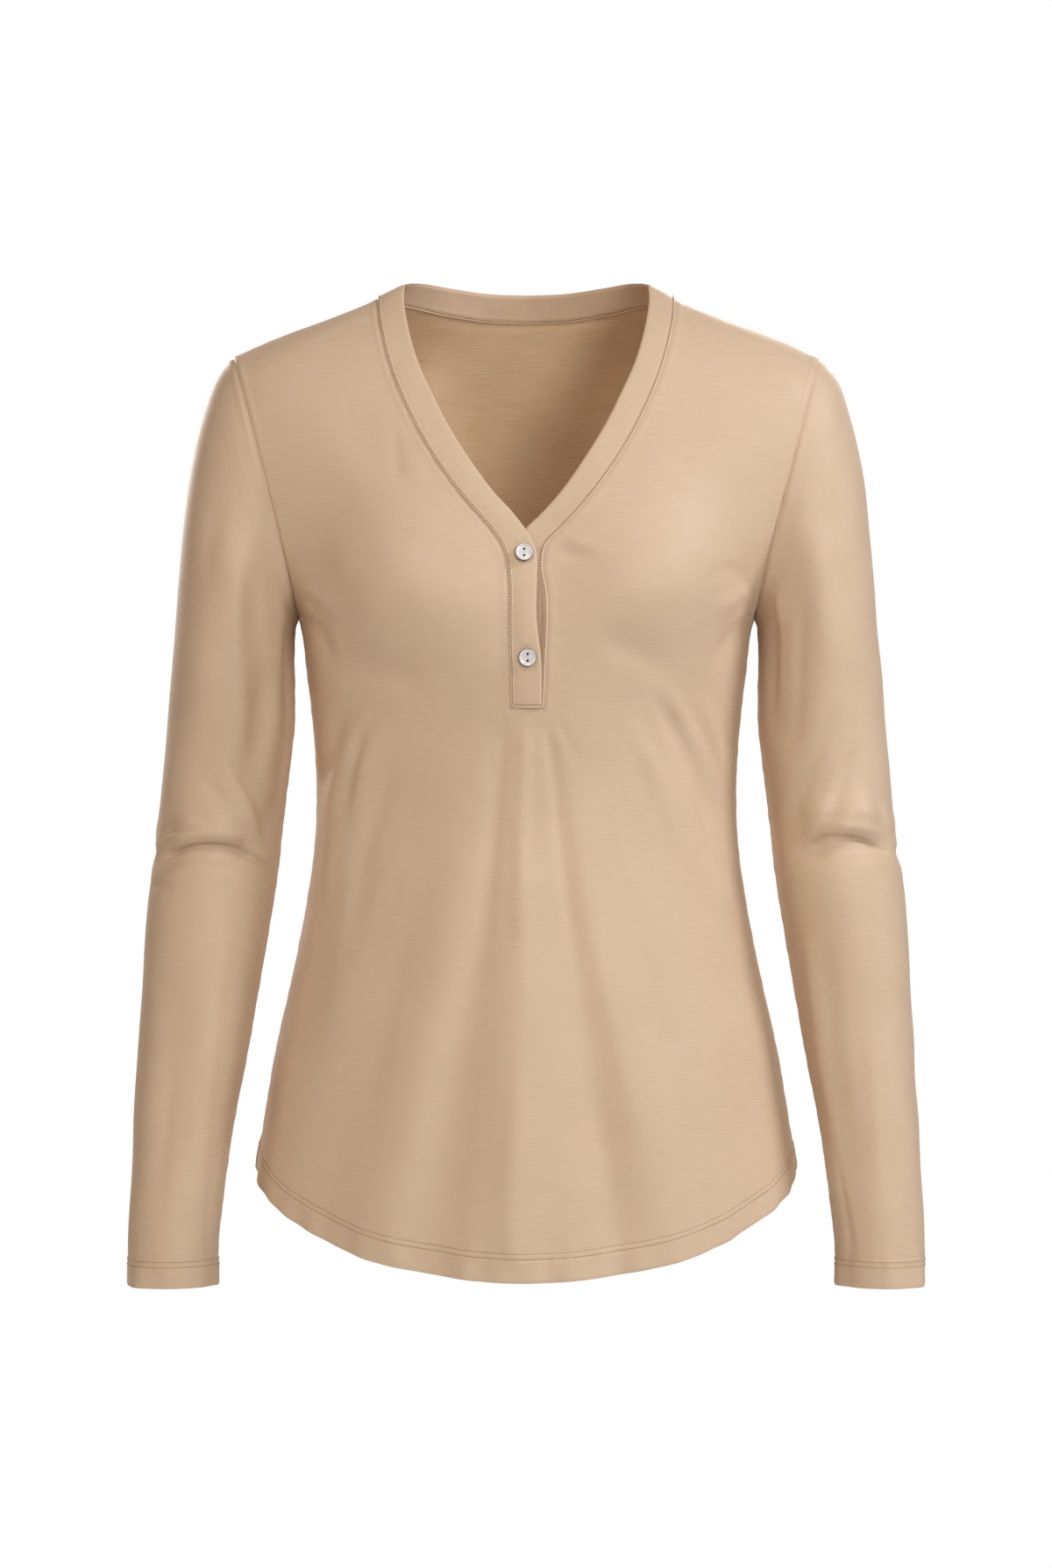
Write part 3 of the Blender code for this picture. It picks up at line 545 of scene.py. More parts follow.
@dataclass(frozen=True)
class JerseyFinish:
    """Smooth viscose jersey, single knit: matte with a low satin shine that runs along soft folds.

    Yarns of uneven thickness lie crosswise and show as faint streaks. The loops are 0.45 mm wide, too fine
    for the render, so the bump draws the columns of loops (wales) 1.4 mm wide. Sizes are in mm.
    """

    name: str
    colour: str = "#CFB39A"
    streak: str = "#C8AB90"
    roughness: float = 0.56
    ior: float = 1.45
    specular: float = 0.38
    sheen: float = 0.22
    sheen_roughness: float = 0.45
    sheen_tint: str = "#F0DCC2"
    streak_width: float = 0.8
    streak_length: float = 16.0
    streak_share: float = 0.7
    patches_a_mm: float = 0.018
    patch_share: float = 0.3
    contrast: tuple = (0.36, 0.64)
    wale: float = 1.4
    wale_share: float = 0.5
    wale_wander: float = 1.2
    relief: float = 0.05
    strength: float = 0.35
    crimp: float = 0.2
    crimp_size: tuple = (24.0, 4.2)

    # the wave texture has this many radians in a unit at scale 1
    WAVE_RADIANS = 20

    def make(self) -> bpy.types.Material:
        """Makes the material.

        Returns:
            The material, which reads the piece's own UV map, in mm across and along the cloth.
        """
        material, tree, output = blank_material(self.name)
        uv = add_node(tree, "ShaderNodeTexCoord", {}, {}).outputs["UV"]
        squeezed = add_node(
            tree, "ShaderNodeMapping", {"Scale": (1 / self.streak_length, 1 / self.streak_width, 1.0)},
            {"Vector": uv},
        )
        streaks = add_node(
            tree, "ShaderNodeTexNoise", {"Scale": 1.0, "Detail": 3.0, "Roughness": 0.6},
            {"Vector": squeezed.outputs["Vector"]},
        )
        broad = add_node(
            tree, "ShaderNodeTexNoise", {"Scale": self.patches_a_mm, "Detail": 2.0, "Roughness": 0.5},
            {"Vector": uv},
        )
        patches = add_node(
            tree, "ShaderNodeMath", {"operation": "MULTIPLY", 1: self.patch_share}, {0: broad.outputs[0]}
        )
        blend = add_node(
            tree, "ShaderNodeMath", {"operation": "MULTIPLY_ADD", 1: self.streak_share},
            {0: streaks.outputs[0], 2: patches.outputs[0]},
        )
        ramp = add_node(
            tree, "ShaderNodeMapRange", {"From Min": self.contrast[0], "From Max": self.contrast[1]},
            {"Value": blend.outputs[0]},
        )
        colour = add_node(
            tree, "ShaderNodeMix", {"data_type": "RGBA", 6: linear(self.streak), 7: linear(self.colour)},
            {0: ramp.outputs[0]},
        )
        wales = add_node(
            tree,
            "ShaderNodeTexWave",
            {
                "wave_type": "BANDS",
                "bands_direction": "X",
                "Scale": 2 * math.pi / self.wale / self.WAVE_RADIANS,
                "Distortion": self.wale_wander,
                "Detail": 1.0,
                "Detail Scale": 2.0,
            },
            {"Vector": uv},
        )
        mixed = add_node(
            tree, "ShaderNodeMath", {"operation": "MULTIPLY_ADD", 1: self.wale_share},
            {0: wales.outputs[1], 2: streaks.outputs[0]},
        )
        wide, high = self.crimp_size
        laid = add_node(tree, "ShaderNodeMapping", {"Scale": (1 / wide, 1 / high, 1.0)}, {"Vector": uv})
        ripples = add_node(
            tree, "ShaderNodeTexNoise", {"Scale": 1.0, "Detail": 1.5}, {"Vector": laid.outputs["Vector"]}
        )
        height = add_node(
            tree, "ShaderNodeMath", {"operation": "MULTIPLY_ADD", 1: self.crimp / self.relief},
            {0: ripples.outputs[0], 2: mixed.outputs[0]},
        )
        bump = add_node(
            tree, "ShaderNodeBump", {"Strength": self.strength, "Distance": self.relief * MM},
            {"Height": height.outputs[0]},
        )
        shader = add_node(
            tree,
            "ShaderNodeBsdfPrincipled",
            {
                "Roughness": self.roughness,
                "IOR": self.ior,
                "Specular IOR Level": self.specular,
                "Sheen Weight": self.sheen,
                "Sheen Roughness": self.sheen_roughness,
                "Sheen Tint": linear(self.sheen_tint),
            },
            {"Base Color": colour.outputs[2], "Normal": bump.outputs["Normal"]},
        )
        tree.links.new(shader.outputs[0], output.inputs[0])
        return material


@dataclass(frozen=True)
class CloudedFinish:
    """A finish with two colours in soft clouds, drawn on Object coordinates."""

    name: str
    colour: str
    shade: str

    CLOUDS = {}
    SURFACE = {}

    def make(self) -> bpy.types.Material:
        """Makes the material.

        Returns:
            The material.
        """
        material, tree, output = blank_material(self.name)
        place = add_node(tree, "ShaderNodeTexCoord", {}, {}).outputs["Object"]
        clouds = add_node(tree, "ShaderNodeTexNoise", self.CLOUDS, {"Vector": place})
        colour = add_node(
            tree, "ShaderNodeMix", {"data_type": "RGBA", 6: linear(self.shade), 7: linear(self.colour)},
            {0: clouds.outputs[0]},
        )
        shader = add_node(tree, "ShaderNodeBsdfPrincipled", self.SURFACE, {"Base Color": colour.outputs[2]})
        tree.links.new(shader.outputs[0], output.inputs[0])
        return material


@dataclass(frozen=True)
class ThreadFinish(CloudedFinish):
    """Spun polyester sewing thread, with a soft shine on its twist.

    A real twist is 0.5 mm long, too fine for the render, so its light and dark are drawn 1.1 mm long, which
    is 900 to a metre.
    """

    CLOUDS = {"Scale": 900.0, "Detail": 1.0}
    SURFACE = {"Roughness": 0.6, "IOR": 1.5, "Sheen Weight": 0.15}


@dataclass(frozen=True)
class PearlFinish(CloudedFinish):
    """Polyester resin with a pearl pigment, turned and polished: faint clouds under a clear gloss.

    The clouds are about 4 mm across, which is 260 to a metre.
    """

    CLOUDS = {"Scale": 260.0, "Detail": 3.0, "Distortion": 1.5}
    SURFACE = {"Roughness": 0.22, "IOR": 1.53, "Coat Weight": 0.5, "Coat Roughness": 0.08}


# ---- Cloth in mesh form ----


@dataclass
class Grid:
    """A sheet of cloth as rows and columns of points in mm, with its place across and along the cloth."""

    points: Array
    u: Array
    v: Array
    quads: Array
    corners: Array

    @classmethod
    def make(cls, points: Array, u: Array, v: Array, tube: bool, skip: Array | None = None) -> "Grid":
        """Joins a grid's points into quads.

        Args:
            points: rows, columns and three coordinates.
            u: place across the cloth of each point, with one more column on a tube.
            v: place along the cloth of each point, with one more column on a tube.
            tube: the last column joins the first.
            skip: quads that are left open, as rows and columns of true or false.

        Returns:
            The grid, with faces that look outwards where rows run down and columns run to +X on the front.
        """
        rows, columns = points.shape[:2]
        r, c = np.meshgrid(np.arange(rows - 1), np.arange(columns if tube else columns - 1), indexing="ij")
        if skip is not None:
            r, c = r[~skip], c[~skip]
        r, c = r.ravel(), c.ravel()
        d = (c + 1) % columns
        quads = np.stack([r * columns + c, (r + 1) * columns + c, (r + 1) * columns + d, r * columns + d], 1)
        wide = u.shape[1]
        corners = np.stack([r * wide + c, (r + 1) * wide + c, (r + 1) * wide + c + 1, r * wide + c + 1], 1)
        return cls(points, u, v, quads, corners)

    def normals(self) -> Array:
        """The outward direction at each point, from the faces round it.

        Returns:
            The directions, in the shape of the points.
        """
        flat = self.points.reshape(-1, 3)
        a, b, c, d = (flat[self.quads[:, i]] for i in range(4))
        face = np.cross(c - a, d - b)
        total = np.zeros_like(flat)
        for i in range(4):
            np.add.at(total, self.quads[:, i], face)
        return unit(total).reshape(self.points.shape)

    def face(self, away: Array) -> None:
        """Turns all faces round if they look against the given directions.

        Args:
            away: an outward direction for each point.
        """
        if np.sum(self.normals() * away) < 0:
            self.quads = self.quads[:, ::-1]
            self.corners = self.corners[:, ::-1]

    def rim(self) -> Array:
        """Edges with a face on one side only.

        Returns:
            Both points of each edge, in its face's direction.
        """
        edges = np.concatenate([self.quads[:, [i, (i + 1) % 4]] for i in range(4)])
        count = self.points.shape[0] * self.points.shape[1]
        keys = edges[:, 0] * count + edges[:, 1]
        return edges[~np.isin(keys, edges[:, 1] * count + edges[:, 0])]


def distance_to(points: Array, line: Array) -> tuple[Array, Array]:
    """How far points lie from a line of short stretches.

    Args:
        points: points, three coordinates last.
        line: the line's points in order.

    Returns:
        The distance of each point, and the length along the line of its nearest place.
    """
    flat = points.reshape(-1, 3)
    best = np.full(len(flat), np.inf)
    place = np.zeros(len(flat))
    gone, shortest = 0.0, 1e-6
    for a, b in zip(line[:-1], line[1:]):
        stretch = b - a
        length = max(float(np.linalg.norm(stretch)), shortest)
        share = np.clip((flat - a) @ stretch / length**2, 0.0, 1.0)
        apart = np.linalg.norm(flat - (a + share[:, None] * stretch), axis=1)
        nearer = apart < best
        best[nearer] = apart[nearer]
        place[nearer] = gone + share[nearer] * length
        gone += length
    return best.reshape(points.shape[:-1]), place.reshape(points.shape[:-1])


@dataclass(frozen=True)
class SewnRelief:
    """Height of cloth beside sewing: a dip along it, soft rolls beside it and small puckers, in mm."""

    dip: float
    dip_width: float
    roll: float
    roll_at: float
    roll_width: float
    pucker: float
    pucker_waves: tuple

    def height(self, distance: Array, pucker: Array) -> Array:
        """Height of the dip and the rolls at distances from the sewing, with the puckers added."""
        roll = self.roll * bell((np.abs(distance) - self.roll_at) / self.roll_width)
        return roll - self.dip * bell(distance / self.dip_width) + pucker

    def beside_seam(self, distance: Array, place: Array, seed: int) -> Array:
        """Height beside a plain seam, whose puckers fade slowly and leave the seam itself straight.

        Args:
            distance: distance from the seam.
            place: length along the seam.
            seed: which of the wandering lines.

        Returns:
            The height at each point, in mm.
        """
        fade, clear = 7.0, 2.0
        waved = waves(place, seed, self.pucker_waves) * self.pucker
        return self.height(distance, waved * np.exp(-distance / fade) * step(distance / clear))

    def beside_row(self, distance: Array, place: Array, seed: int) -> Array:
        """Height beside a row of stitches, which puckers itself too.

        Args:
            distance: distance from the row, below 0 on one side.
            place: length along the row.
            seed: which of the wandering lines.

        Returns:
            The height at each point, in mm.
        """
        reach = 6.0
        waved = waves(place, seed, self.pucker_waves) * self.pucker
        return self.height(distance, waved * bell(distance / reach))


PLAIN_SEAM = SewnRelief(
    dip=0.8, dip_width=1.05, roll=0.28, roll_at=3.4, roll_width=1.9, pucker=0.22, pucker_waves=(11, 17, 29)
)
BAND_SEAM = replace(PLAIN_SEAM, dip=0.3)
HEM_ROW = SewnRelief(
    dip=0.3, dip_width=0.7, roll=0.1, roll_at=1.7, roll_width=1.0, pucker=0.14, pucker_waves=(8, 13, 21)
)
# edges of cloth that turn by more than this, in degrees, are shaded sharp
CLOTH_SHARP = 75.0


def finish_mesh(name: str, verts: Array, faces: list, material: bpy.types.Material) -> bpy.types.Object:
    """Makes a smooth shaded object at the origin.

    Args:
        name: the object's name.
        verts: its points, in mm.
        faces: the points of each face.
        material: its finish.

    Returns:
        The object.
    """
    mesh = bpy.data.meshes.new(name)
    mesh.from_pydata((verts * MM).tolist(), [], faces)
    mesh.materials.append(material)
    mesh.shade_smooth()
    thing = bpy.data.objects.new(name, mesh)
    bpy.context.scene.collection.objects.link(thing)
    return thing


def cloth_wall(name: str, grid: Grid, thickness: Array, materials: tuple) -> bpy.types.Object:
    """Makes a closed thin wall whose outer face is the grid.

    Args:
        name: the object's name.
        grid: the outer face.
        thickness: the wall's thickness at each point, in mm.
        materials: the finishes of its right side and its wrong side.

    Returns:
        The object, with a UV map in mm across and along the cloth.
    """
    outer = grid.points.reshape(-1, 3)
    inner = (grid.points - grid.normals() * thickness[..., None]).reshape(-1, 3)
    count = len(outer)
    rim = grid.rim()
    edge = np.stack([rim[:, 1], rim[:, 0], rim[:, 0] + count, rim[:, 1] + count], 1)
    faces = np.concatenate([grid.quads, grid.quads[:, ::-1] + count, edge])
    used = np.unique(faces)
    place = np.full(2 * count, -1)
    place[used] = np.arange(len(used))
    thing = finish_mesh(name, np.concatenate([outer, inner])[used], place[faces].tolist(), materials[0])
    mesh = thing.data
    mesh.materials.append(materials[1])
    side = np.zeros(len(faces), dtype=np.int32)
    side[len(grid.quads) : 2 * len(grid.quads)] = 1
    mesh.polygons.foreach_set("material_index", side)
    spots = np.stack([grid.u.ravel(), grid.v.ravel()], 1)
    edge_corner = {}
    for quad, corner in zip(grid.quads.tolist(), grid.corners.tolist()):
        edge_corner.update(zip(quad, corner))
    rim_corner = np.array([[edge_corner[i % count] for i in row] for row in edge.tolist()]).reshape(-1, 4)
    corners = np.concatenate([grid.corners, grid.corners[:, ::-1], rim_corner]).ravel()
    layer = mesh.uv_layers.new(name="cloth")
    layer.data.foreach_set("uv", spots[corners].ravel())
    mesh.set_sharp_from_angle(angle=math.radians(CLOTH_SHARP))
    return thing


@dataclass(frozen=True)
class Stitches:
    """A row of sewing: many small stitches of thread, joined in one mesh."""

    pitch: float = 2.0
    length: float = 1.55
    radius: float = 0.2
    sides: int = 5
    proud: float = 0.05
    probe: float = 0.4

    # places along a stitch and its thickness there, as shares of the length and the radius
    OUTLINE = ((0.5, 0.0), (0.42, 0.75), (0.0, 1.0), (-0.42, 0.75), (-0.5, 0.0))

    def spindle(self) -> tuple[Array, Array]:
        """One stitch along x, rounded at both ends.

        Returns:
            Its points and its faces. The faces at its ends name their last point twice.
        """
        verts = [(self.length * self.OUTLINE[0][0], 0.0, 0.0)]
        for share, thick in self.OUTLINE[1:-1]:
            for i in range(self.sides):
                turn = 2 * math.pi * i / self.sides
                r = self.radius * thick
                verts.append((self.length * share, r * math.cos(turn), r * math.sin(turn)))
        verts.append((self.length * self.OUTLINE[-1][0], 0.0, 0.0))
        faces, last, n = [], len(verts) - 1, self.sides
        bands = len(self.OUTLINE) - 3
        for i in range(n):
            j = (i + 1) % n
            faces.append((0, 1 + i, 1 + j, 1 + j))
            for ring in range(bands):
                a = 1 + ring * n
                faces.append((a + i, a + n + i, a + n + j, a + j))
            faces.append((1 + bands * n + i, last, last, 1 + bands * n + j))
        return np.array(verts), np.array(faces)

    def along(self, line: Array, facing: Array, closed: bool = False) -> tuple[Array, Array, Array]:
        """Lays stitches along a line.

        Args:
            line: the line's points.
            facing: the direction that the cloth faces at each of them.
            closed: the line's end joins its start.

        Returns:
            Places, directions and facings of the stitches.
        """
        if closed:
            line, facing = np.concatenate([line, line[:1]]), np.concatenate([facing, facing[:1]])
        gone = along_line(line)
        count = max(int(round(gone[-1] / self.pitch)), 1)
        at = (np.arange(count) + 0.5) * gone[-1] / count
        ahead = read_at(at + self.probe, gone, line) - read_at(at - self.probe, gone, line)
        return read_at(at, gone, line), unit(ahead), unit(read_at(at, gone, facing))

    def sew(self, name: str, rows: list, material: bpy.types.Material) -> bpy.types.Object:
        """Makes the stitches of several rows as one object.

        Args:
            name: the object's name.
            rows: places, directions and facings of each row, as from along.
            material: the thread's material.

        Returns:
            The object.
        """
        shape, quads = self.spindle()
        place, ahead, up = (np.concatenate([row[i] for row in rows]) for i in range(3))
        across = unit(np.cross(up, ahead))
        up = np.cross(ahead, across)
        place = place + up * self.proud
        verts = (
            place[:, None, :]
            + shape[None, :, 0, None] * ahead[:, None, :]
            + shape[None, :, 1, None] * across[:, None, :]
            + shape[None, :, 2, None] * up[:, None, :]
        ).reshape(-1, 3)
        faces = (quads[None] + len(shape) * np.arange(len(place))[:, None, None]).reshape(-1, 4)
        thing = finish_mesh(name, verts, [sorted(set(f), key=f.index) for f in faces.tolist()], material)
        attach(thing, BODY)
        return thing


@dataclass(frozen=True)
class HemCut:
    """A turned hem with two rows of stitches. Sizes are in mm, most of them measured from the hem's edge."""

    width: float = 19.0
    apart: float = 3.5
    step_up: float = 0.3
    step_past: float = 0.6
    step_width: float = 1.2
    second_layer: float = 0.7
    edge_drop: float = 0.55
    edge_width: float = 0.8
    wander: float = 0.95
    wander_at: float = 4.0
    wander_width: float = 13.0
    wander_waves: tuple = (23.0, 37.0, 58.0)

    def turned(self, gone: Array) -> Array:
        """1 in the turned hem and 0 above it, with a soft step between them."""
        return step((self.width + self.step_past - gone) / self.step_width)

    def height(self, gone: Array, place: Array, seed: int) -> Array:
        """Height that the turned hem adds.

        Args:
            gone: distances from its edge.
            place: length along the edge.
            seed: which of the wandering lines.

        Returns:
            The height at each point.
        """
        lift = self.step_up * self.turned(gone)
        lift = lift - self.edge_drop * bell(gone / self.edge_width)
        for row in (self.width, self.width - self.apart):
            lift = lift + HEM_ROW.beside_row(gone - row, place, seed)
        wander = waves(place, seed + 5, self.wander_waves) * self.wander
        return lift + wander * bell((gone - self.wander_at) / self.wander_width)

    def thickness(self, gone: Array, plain: float) -> Array:
        """Thickness of the cloth at distances from the edge: double in the hem."""
        return plain + self.second_layer * self.turned(gone)


# ---- The body's panels ----


@dataclass
class Panel:
    """What the front, the back and the sleeves share. Sizes are in mm."""

    finish: tuple
    piece: str = ""
    seed: int = 0
    cut: BodyCut = BodyCut()
    hem: HemCut = HemCut()
    thickness: float = 0.9
    plain_seams: int = 4
    unevenness: float = 0.32
    uneven_length: float = 70.0
    calm_from: float = 1.0
    calm_width: float = 16.0
    hem_rows: int = 20
    hem_stretch: float = 25.0

    def seams_of(self, grid: Grid) -> list[Array]:
        """The lines along which this panel is sewn to another one."""
        raise NotImplementedError

    def creases(self, grid: Grid) -> Array:
        """Height of the panel's creases."""
        raise NotImplementedError

    def declare(self, thing: bpy.types.Object) -> None:
        """Hides the model's node that the panel replaces."""
        raise NotImplementedError

    def edge_run(self, grid: Grid) -> tuple[Array, Array]:
        """Distance of each point from the last row, down its column, and its place along that row."""
        gone = down_columns(grid.points[::-1])[::-1]
        return gone, np.broadcast_to(along_line(grid.points[-1]), gone.shape)

    def relief(self, grid: Grid, creases: Array) -> Array:
        """Height of the finer form: creases, a soft unevenness, seams and the hem.

        Args:
            grid: the panel's outer face.
            creases: the creases' height at each point.

        Returns:
            The height at each point.
        """
        columns = grid.points.shape[1]
        uneven = swell(grid.u[:, :columns], grid.v[:, :columns], self.seed, self.uneven_length)
        lift = creases + self.unevenness * uneven
        sewing, calm = np.zeros_like(lift), np.ones_like(lift)
        for k, line in enumerate(self.seams_of(grid)):
            apart, place = distance_to(grid.points, line)
            sewn = PLAIN_SEAM if k < self.plain_seams else BAND_SEAM
            sewing = sewing + sewn.beside_seam(apart, place, self.seed + 11 * k)
            calm = calm * step((apart - self.calm_from) / self.calm_width)
        gone, place = self.edge_run(grid)
        return lift * calm + sewing + self.hem.height(gone, place, self.seed + 3)

    def build(self, grid: Grid, out: Array) -> Grid:
        """Args:
            grid: the outer face.
            out: the outward direction at each point.

        Returns:
            The raised outer face.
        """
        lift = self.relief(grid, self.creases(grid))
        raised = replace(grid, points=grid.points + out * lift[..., None])
        gone, _ = self.edge_run(grid)
        thing = cloth_wall(self.piece, raised, self.hem.thickness(gone, self.thickness), self.finish)
        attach(thing, BODY)
        self.declare(thing)
        return raised


def seam_facing(grids: dict, reach: float = 7.0, shared: float = 2.5, batch: int = 2000) -> dict:
    """Outward directions of the panels, turned to one common direction along the seams they share.

    Args:
        grids: the panels by name.
        reach: how far from a seam the directions are turned, in mm.
        shared: how near each other the points of one seam lie, in mm.
        batch: number of points worked out at a time.

    Returns:
        The directions of each panel's points.
    """
    flat = {name: grid.points.reshape(-1, 3) for name, grid in grids.items()}
    rims = {name: np.unique(grid.rim()) for name, grid in grids.items()}
    turned = {name: grid.normals().reshape(-1, 3) for name, grid in grids.items()}
    spots = np.concatenate([flat[name][rim] for name, rim in rims.items()])
    facing = np.concatenate([turned[name][rim] for name, rim in rims.items()])
    beside = [np.linalg.norm(spots - spot, axis=1) < shared for spot in spots]
    common = np.array([unit(facing[near].sum(axis=0)) for near in beside])
    for name, out in turned.items():
        own = flat[name][rims[name]]
        for start in range(0, len(out), batch):
            part = flat[name][start : start + batch]
            apart = np.min(np.linalg.norm(part[:, None] - own[None], axis=2), axis=1)
            close = np.where(apart < reach)[0] + start
            if len(close) == 0:
                continue
            apart = np.linalg.norm(flat[name][close, None] - spots[None], axis=2)
            nearest = np.argmin(apart, axis=1)
            share = 1 - step(apart[np.arange(len(close)), nearest] / reach)[:, None]
            out[close] = unit(out[close] * (1 - share) + common[nearest] * share)
    return {name: out.reshape(grids[name].points.shape) for name, out in turned.items()}


@dataclass
class BodyPanel(Panel):
    """What the front and the back share."""

    neck: NeckCut = NeckCut()

    def creases(self, grid: Grid) -> Array:
        """Height of the creases, whose places are x and z."""
        return creased(self.CREASES, grid.points[..., 0], grid.points[..., 2])

    def lower_shares(self, rows: int, length: float) -> Array:
        """Shares of the way down to the hem, closest together in the hem.

        Args:
            rows: number of rows above the hem's.
            length: the way's length on the centre line.

        Returns:
            The shares, without the 0 at the top.
        """
        turn = 1.0 - self.hem_stretch / length
        hem = np.linspace(turn, 1.0, self.hem_rows + 1)[1:]
        return np.concatenate([np.linspace(0.0, turn, rows + 1)[1:], hem])

    def laid(self, lines: list, side: Side, skip: Array | None = None) -> Grid:
        """Lays rows of points on the body's surface.

        Args:
            lines: angles and heights of each row, from the top down.
            side: front or back.
            skip: quads that are left open.

        Returns:
            The outer face.
        """
        points = np.array([self.cut.point(angle, z, side) for angle, z in lines])
        across = np.array([angle for angle, _ in lines]) * self.cut.radian_width
        made = Grid.make(points, across, points[..., 2], False, skip)
        made.face(points * np.array([1.0, 1.0, 0.0]))
        return made


@dataclass
class FrontPanel(BodyPanel):
    """The front: two halves joined below the placket by the strip in the middle."""

    piece: str = "front_panel"
    seed: int = 21
    armhole_rows: int = 56
    chest_rows: int = 20
    skirt_rows: int = 84
    skirt_length: float = 330.0
    columns: int = 74
    middle_columns: int = 9
    gather: float = 0.6

    CREASES = [
        (-1, -273, -3, -480, 1, 6, 1.4, 0, 0.1, 0.5), (-11, -271, -30, -480, 3, 6, -1.6, 0.2, 0.12, 0.5),
        (10.5, -271, 36, -480, -2, 6, -1.5, -0.2, 0.12, 0.5),
        (-19, -280, -24, -330, 2, 4, -0.6, 0.2, 0.2, 0.5), (17, -276, 38, -318, -2, 4, -0.8, -0.2, 0.2, 0.6),
        (-34, -500, -47, -632, 2, 7, -1.1, 0.3, 0.4, 0.1), (-3, -470, -9, -632, 2, 7, 0.9, 0, 0.4, 0.1),
        (38, -500, 54, -620, -2, 7, -1, -0.3, 0.4, 0.1), (-30, -380, -74, -600, 4, 9, 0.7, 0, 0.4, 0.3),
        (30, -380, 80, -590, -4, 9, 0.8, 0, 0.4, 0.3), (-52, -340, -104, -560, 6, 7, -1, 0.2, 0.4, 0.3),
        (-66, -320, -118, -500, 8, 6, 1.1, 0.2, 0.4, 0.4), (-82, -262, -128, -530, 10, 8, 1.6, 0.1, 0.2, 0.4),
        (62, -400, 108, -590, -6, 8, -0.8, 0, 0.4, 0.3), (48, -330, 96, -480, -7, 6, 0.9, 0, 0.4, 0.4),
        (-100, -268, -120, -352, 3, 4.6, -2.9, 0.2, 0.3, 0.4),
        (-97, -256, -136, -396, 7, 5.4, 2.4, 0.2, 0.2, 0.4), (-90, -268, -112, -356, 4, 5.4, 2, 0, 0.3, 0.5),
        (-84, -300, -112, -420, 5, 5, -1.9, 0, 0.3, 0.5), (-112, -266, -136, -330, 4, 4, -2.2, 0, 0.3, 0.4),
        (88, -252, 130, -366, -6, 4.6, 2.8, -0.2, 0.2, 0.5),
        (77, -254, 125, -384, -7, 4.6, -2.5, -0.2, 0.25, 0.5),
        (112, -256, 131, -326, -3, 4, 2.3, 0, 0.3, 0.4), (103, -262, 131, -352, -4, 4, -2, 0, 0.3, 0.4),
        (64, -270, 104, -400, -6, 6, 1.9, 0, 0.3, 0.4), (-58, -252, -128, -232, -8, 13, -3.2, 0.2, 0.3, 0.4),
        (40, -222, 112, -240, 8, 13, -2.2, -0.2, 0.35, 0.4),
        (-148, -206, -122, -250, -5, 5, -3.2, 0.2, 0.15, 0.6),
        (147, -207, 120, -252, 5, 5, -3, -0.2, 0.15, 0.6), (-146, -190, -118, -216, -4, 5, 2.3, 0, 0.2, 0.5),
        (146, -192, 118, -218, 4, 5, 2.2, 0, 0.2, 0.5), (-143, -178, -112, -190, -4, 5, -1.1, 0, 0.2, 0.6),
        (143, -180, 112, -194, 4, 5, -1, 0, 0.2, 0.6), (-84, -84, -78, -134, 2, 5, -0.9, 0, 0.4, 0.4),
        (15, -158.5, 60, -168, 1, 4, 1.5, 0.3, 0.15, 0.7), (13, -166, 54, -177, 1, 4, -1.3, 0.3, 0.15, 0.7),
        (120, -60, 96, -150, 8, 14, -0.8, 0, 0.4, 0.4), (-120, -60, -98, -150, -8, 14, -0.8, 0, 0.4, 0.4),
    ]

    def foot_row(self) -> int:
        """The row at the placket's foot."""
        return self.armhole_rows + self.chest_rows

    def skirt_z(self, share: float, angle: Array) -> Array:
        """Heights at a share of the way from the placket's foot to the hem."""
        return self.cut.placket_foot_z + share * (self.cut.hem_z(angle) - self.cut.placket_foot_z)

    def half_rows(self, sign: float) -> list:
        """Rows of one half, from the neckline or the placket outwards.

        Args:
            sign: 1 on the wearer's left, -1 on the right.

        Returns:
            Angles and heights of each row, from the shoulder down to the hem.
        """
        across = gathered(self.columns, self.gather)
        shares = np.linspace(0.0, 1.0, self.armhole_rows + 1)
        chest = np.linspace(0.0, 1.0, self.chest_rows + 1)[1:]
        inner_x, inner_z = self.neck.read(sign, self.neck.row_lengths(sign, shares, chest))[:2]
        outer_z = self.cut.armhole_z(math.pi * shares)
        outer_z = np.concatenate([outer_z, outer_z[-1] + (self.cut.placket_foot_z - outer_z[-1]) * chest])
        rows = []
        for x, z_in, z_out in zip(inner_x, inner_z, outer_z):
            start = self.cut.angle_at(x, z_in, Side.FRONT)
            end = self.cut.section(z_out, Side.FRONT)[3] * sign
            rows.append((start + (end - start) * across, z_in + (z_out - z_in) * across))
        angles = rows[-1][0]
        skirt = self.lower_shares(self.skirt_rows, self.skirt_length)
        return rows + [(angles, self.skirt_z(share, angles)) for share in skirt]

    def grid(self) -> Grid:
        """The front's outer face before its relief.

        Returns:
            The grid, open at the placket.
        """
        foot = self.foot_row()
        skirt = self.lower_shares(self.skirt_rows, self.skirt_length)
        ends = np.linspace(0.0, 1.0, self.middle_columns + 2)[1:-1]
        lines = []
        for row, (right, left) in enumerate(zip(self.half_rows(-1.0), self.half_rows(1.0))):
            middle, height = (a[0] + (b[0] - a[0]) * ends for a, b in zip(right, left))
            if row > foot:
                height = self.skirt_z(skirt[row - foot - 1], middle)
            strips = zip(right, (middle, height), left)
            lines.append(tuple(np.concatenate([a[::-1], between, b]) for a, between, b in strips))
        skip = np.zeros((len(lines) - 1, len(lines[0][0]) - 1), dtype=bool)
        skip[:foot, self.columns : self.columns + self.middle_columns + 1] = True
        return self.laid(lines, Side.FRONT, skip)

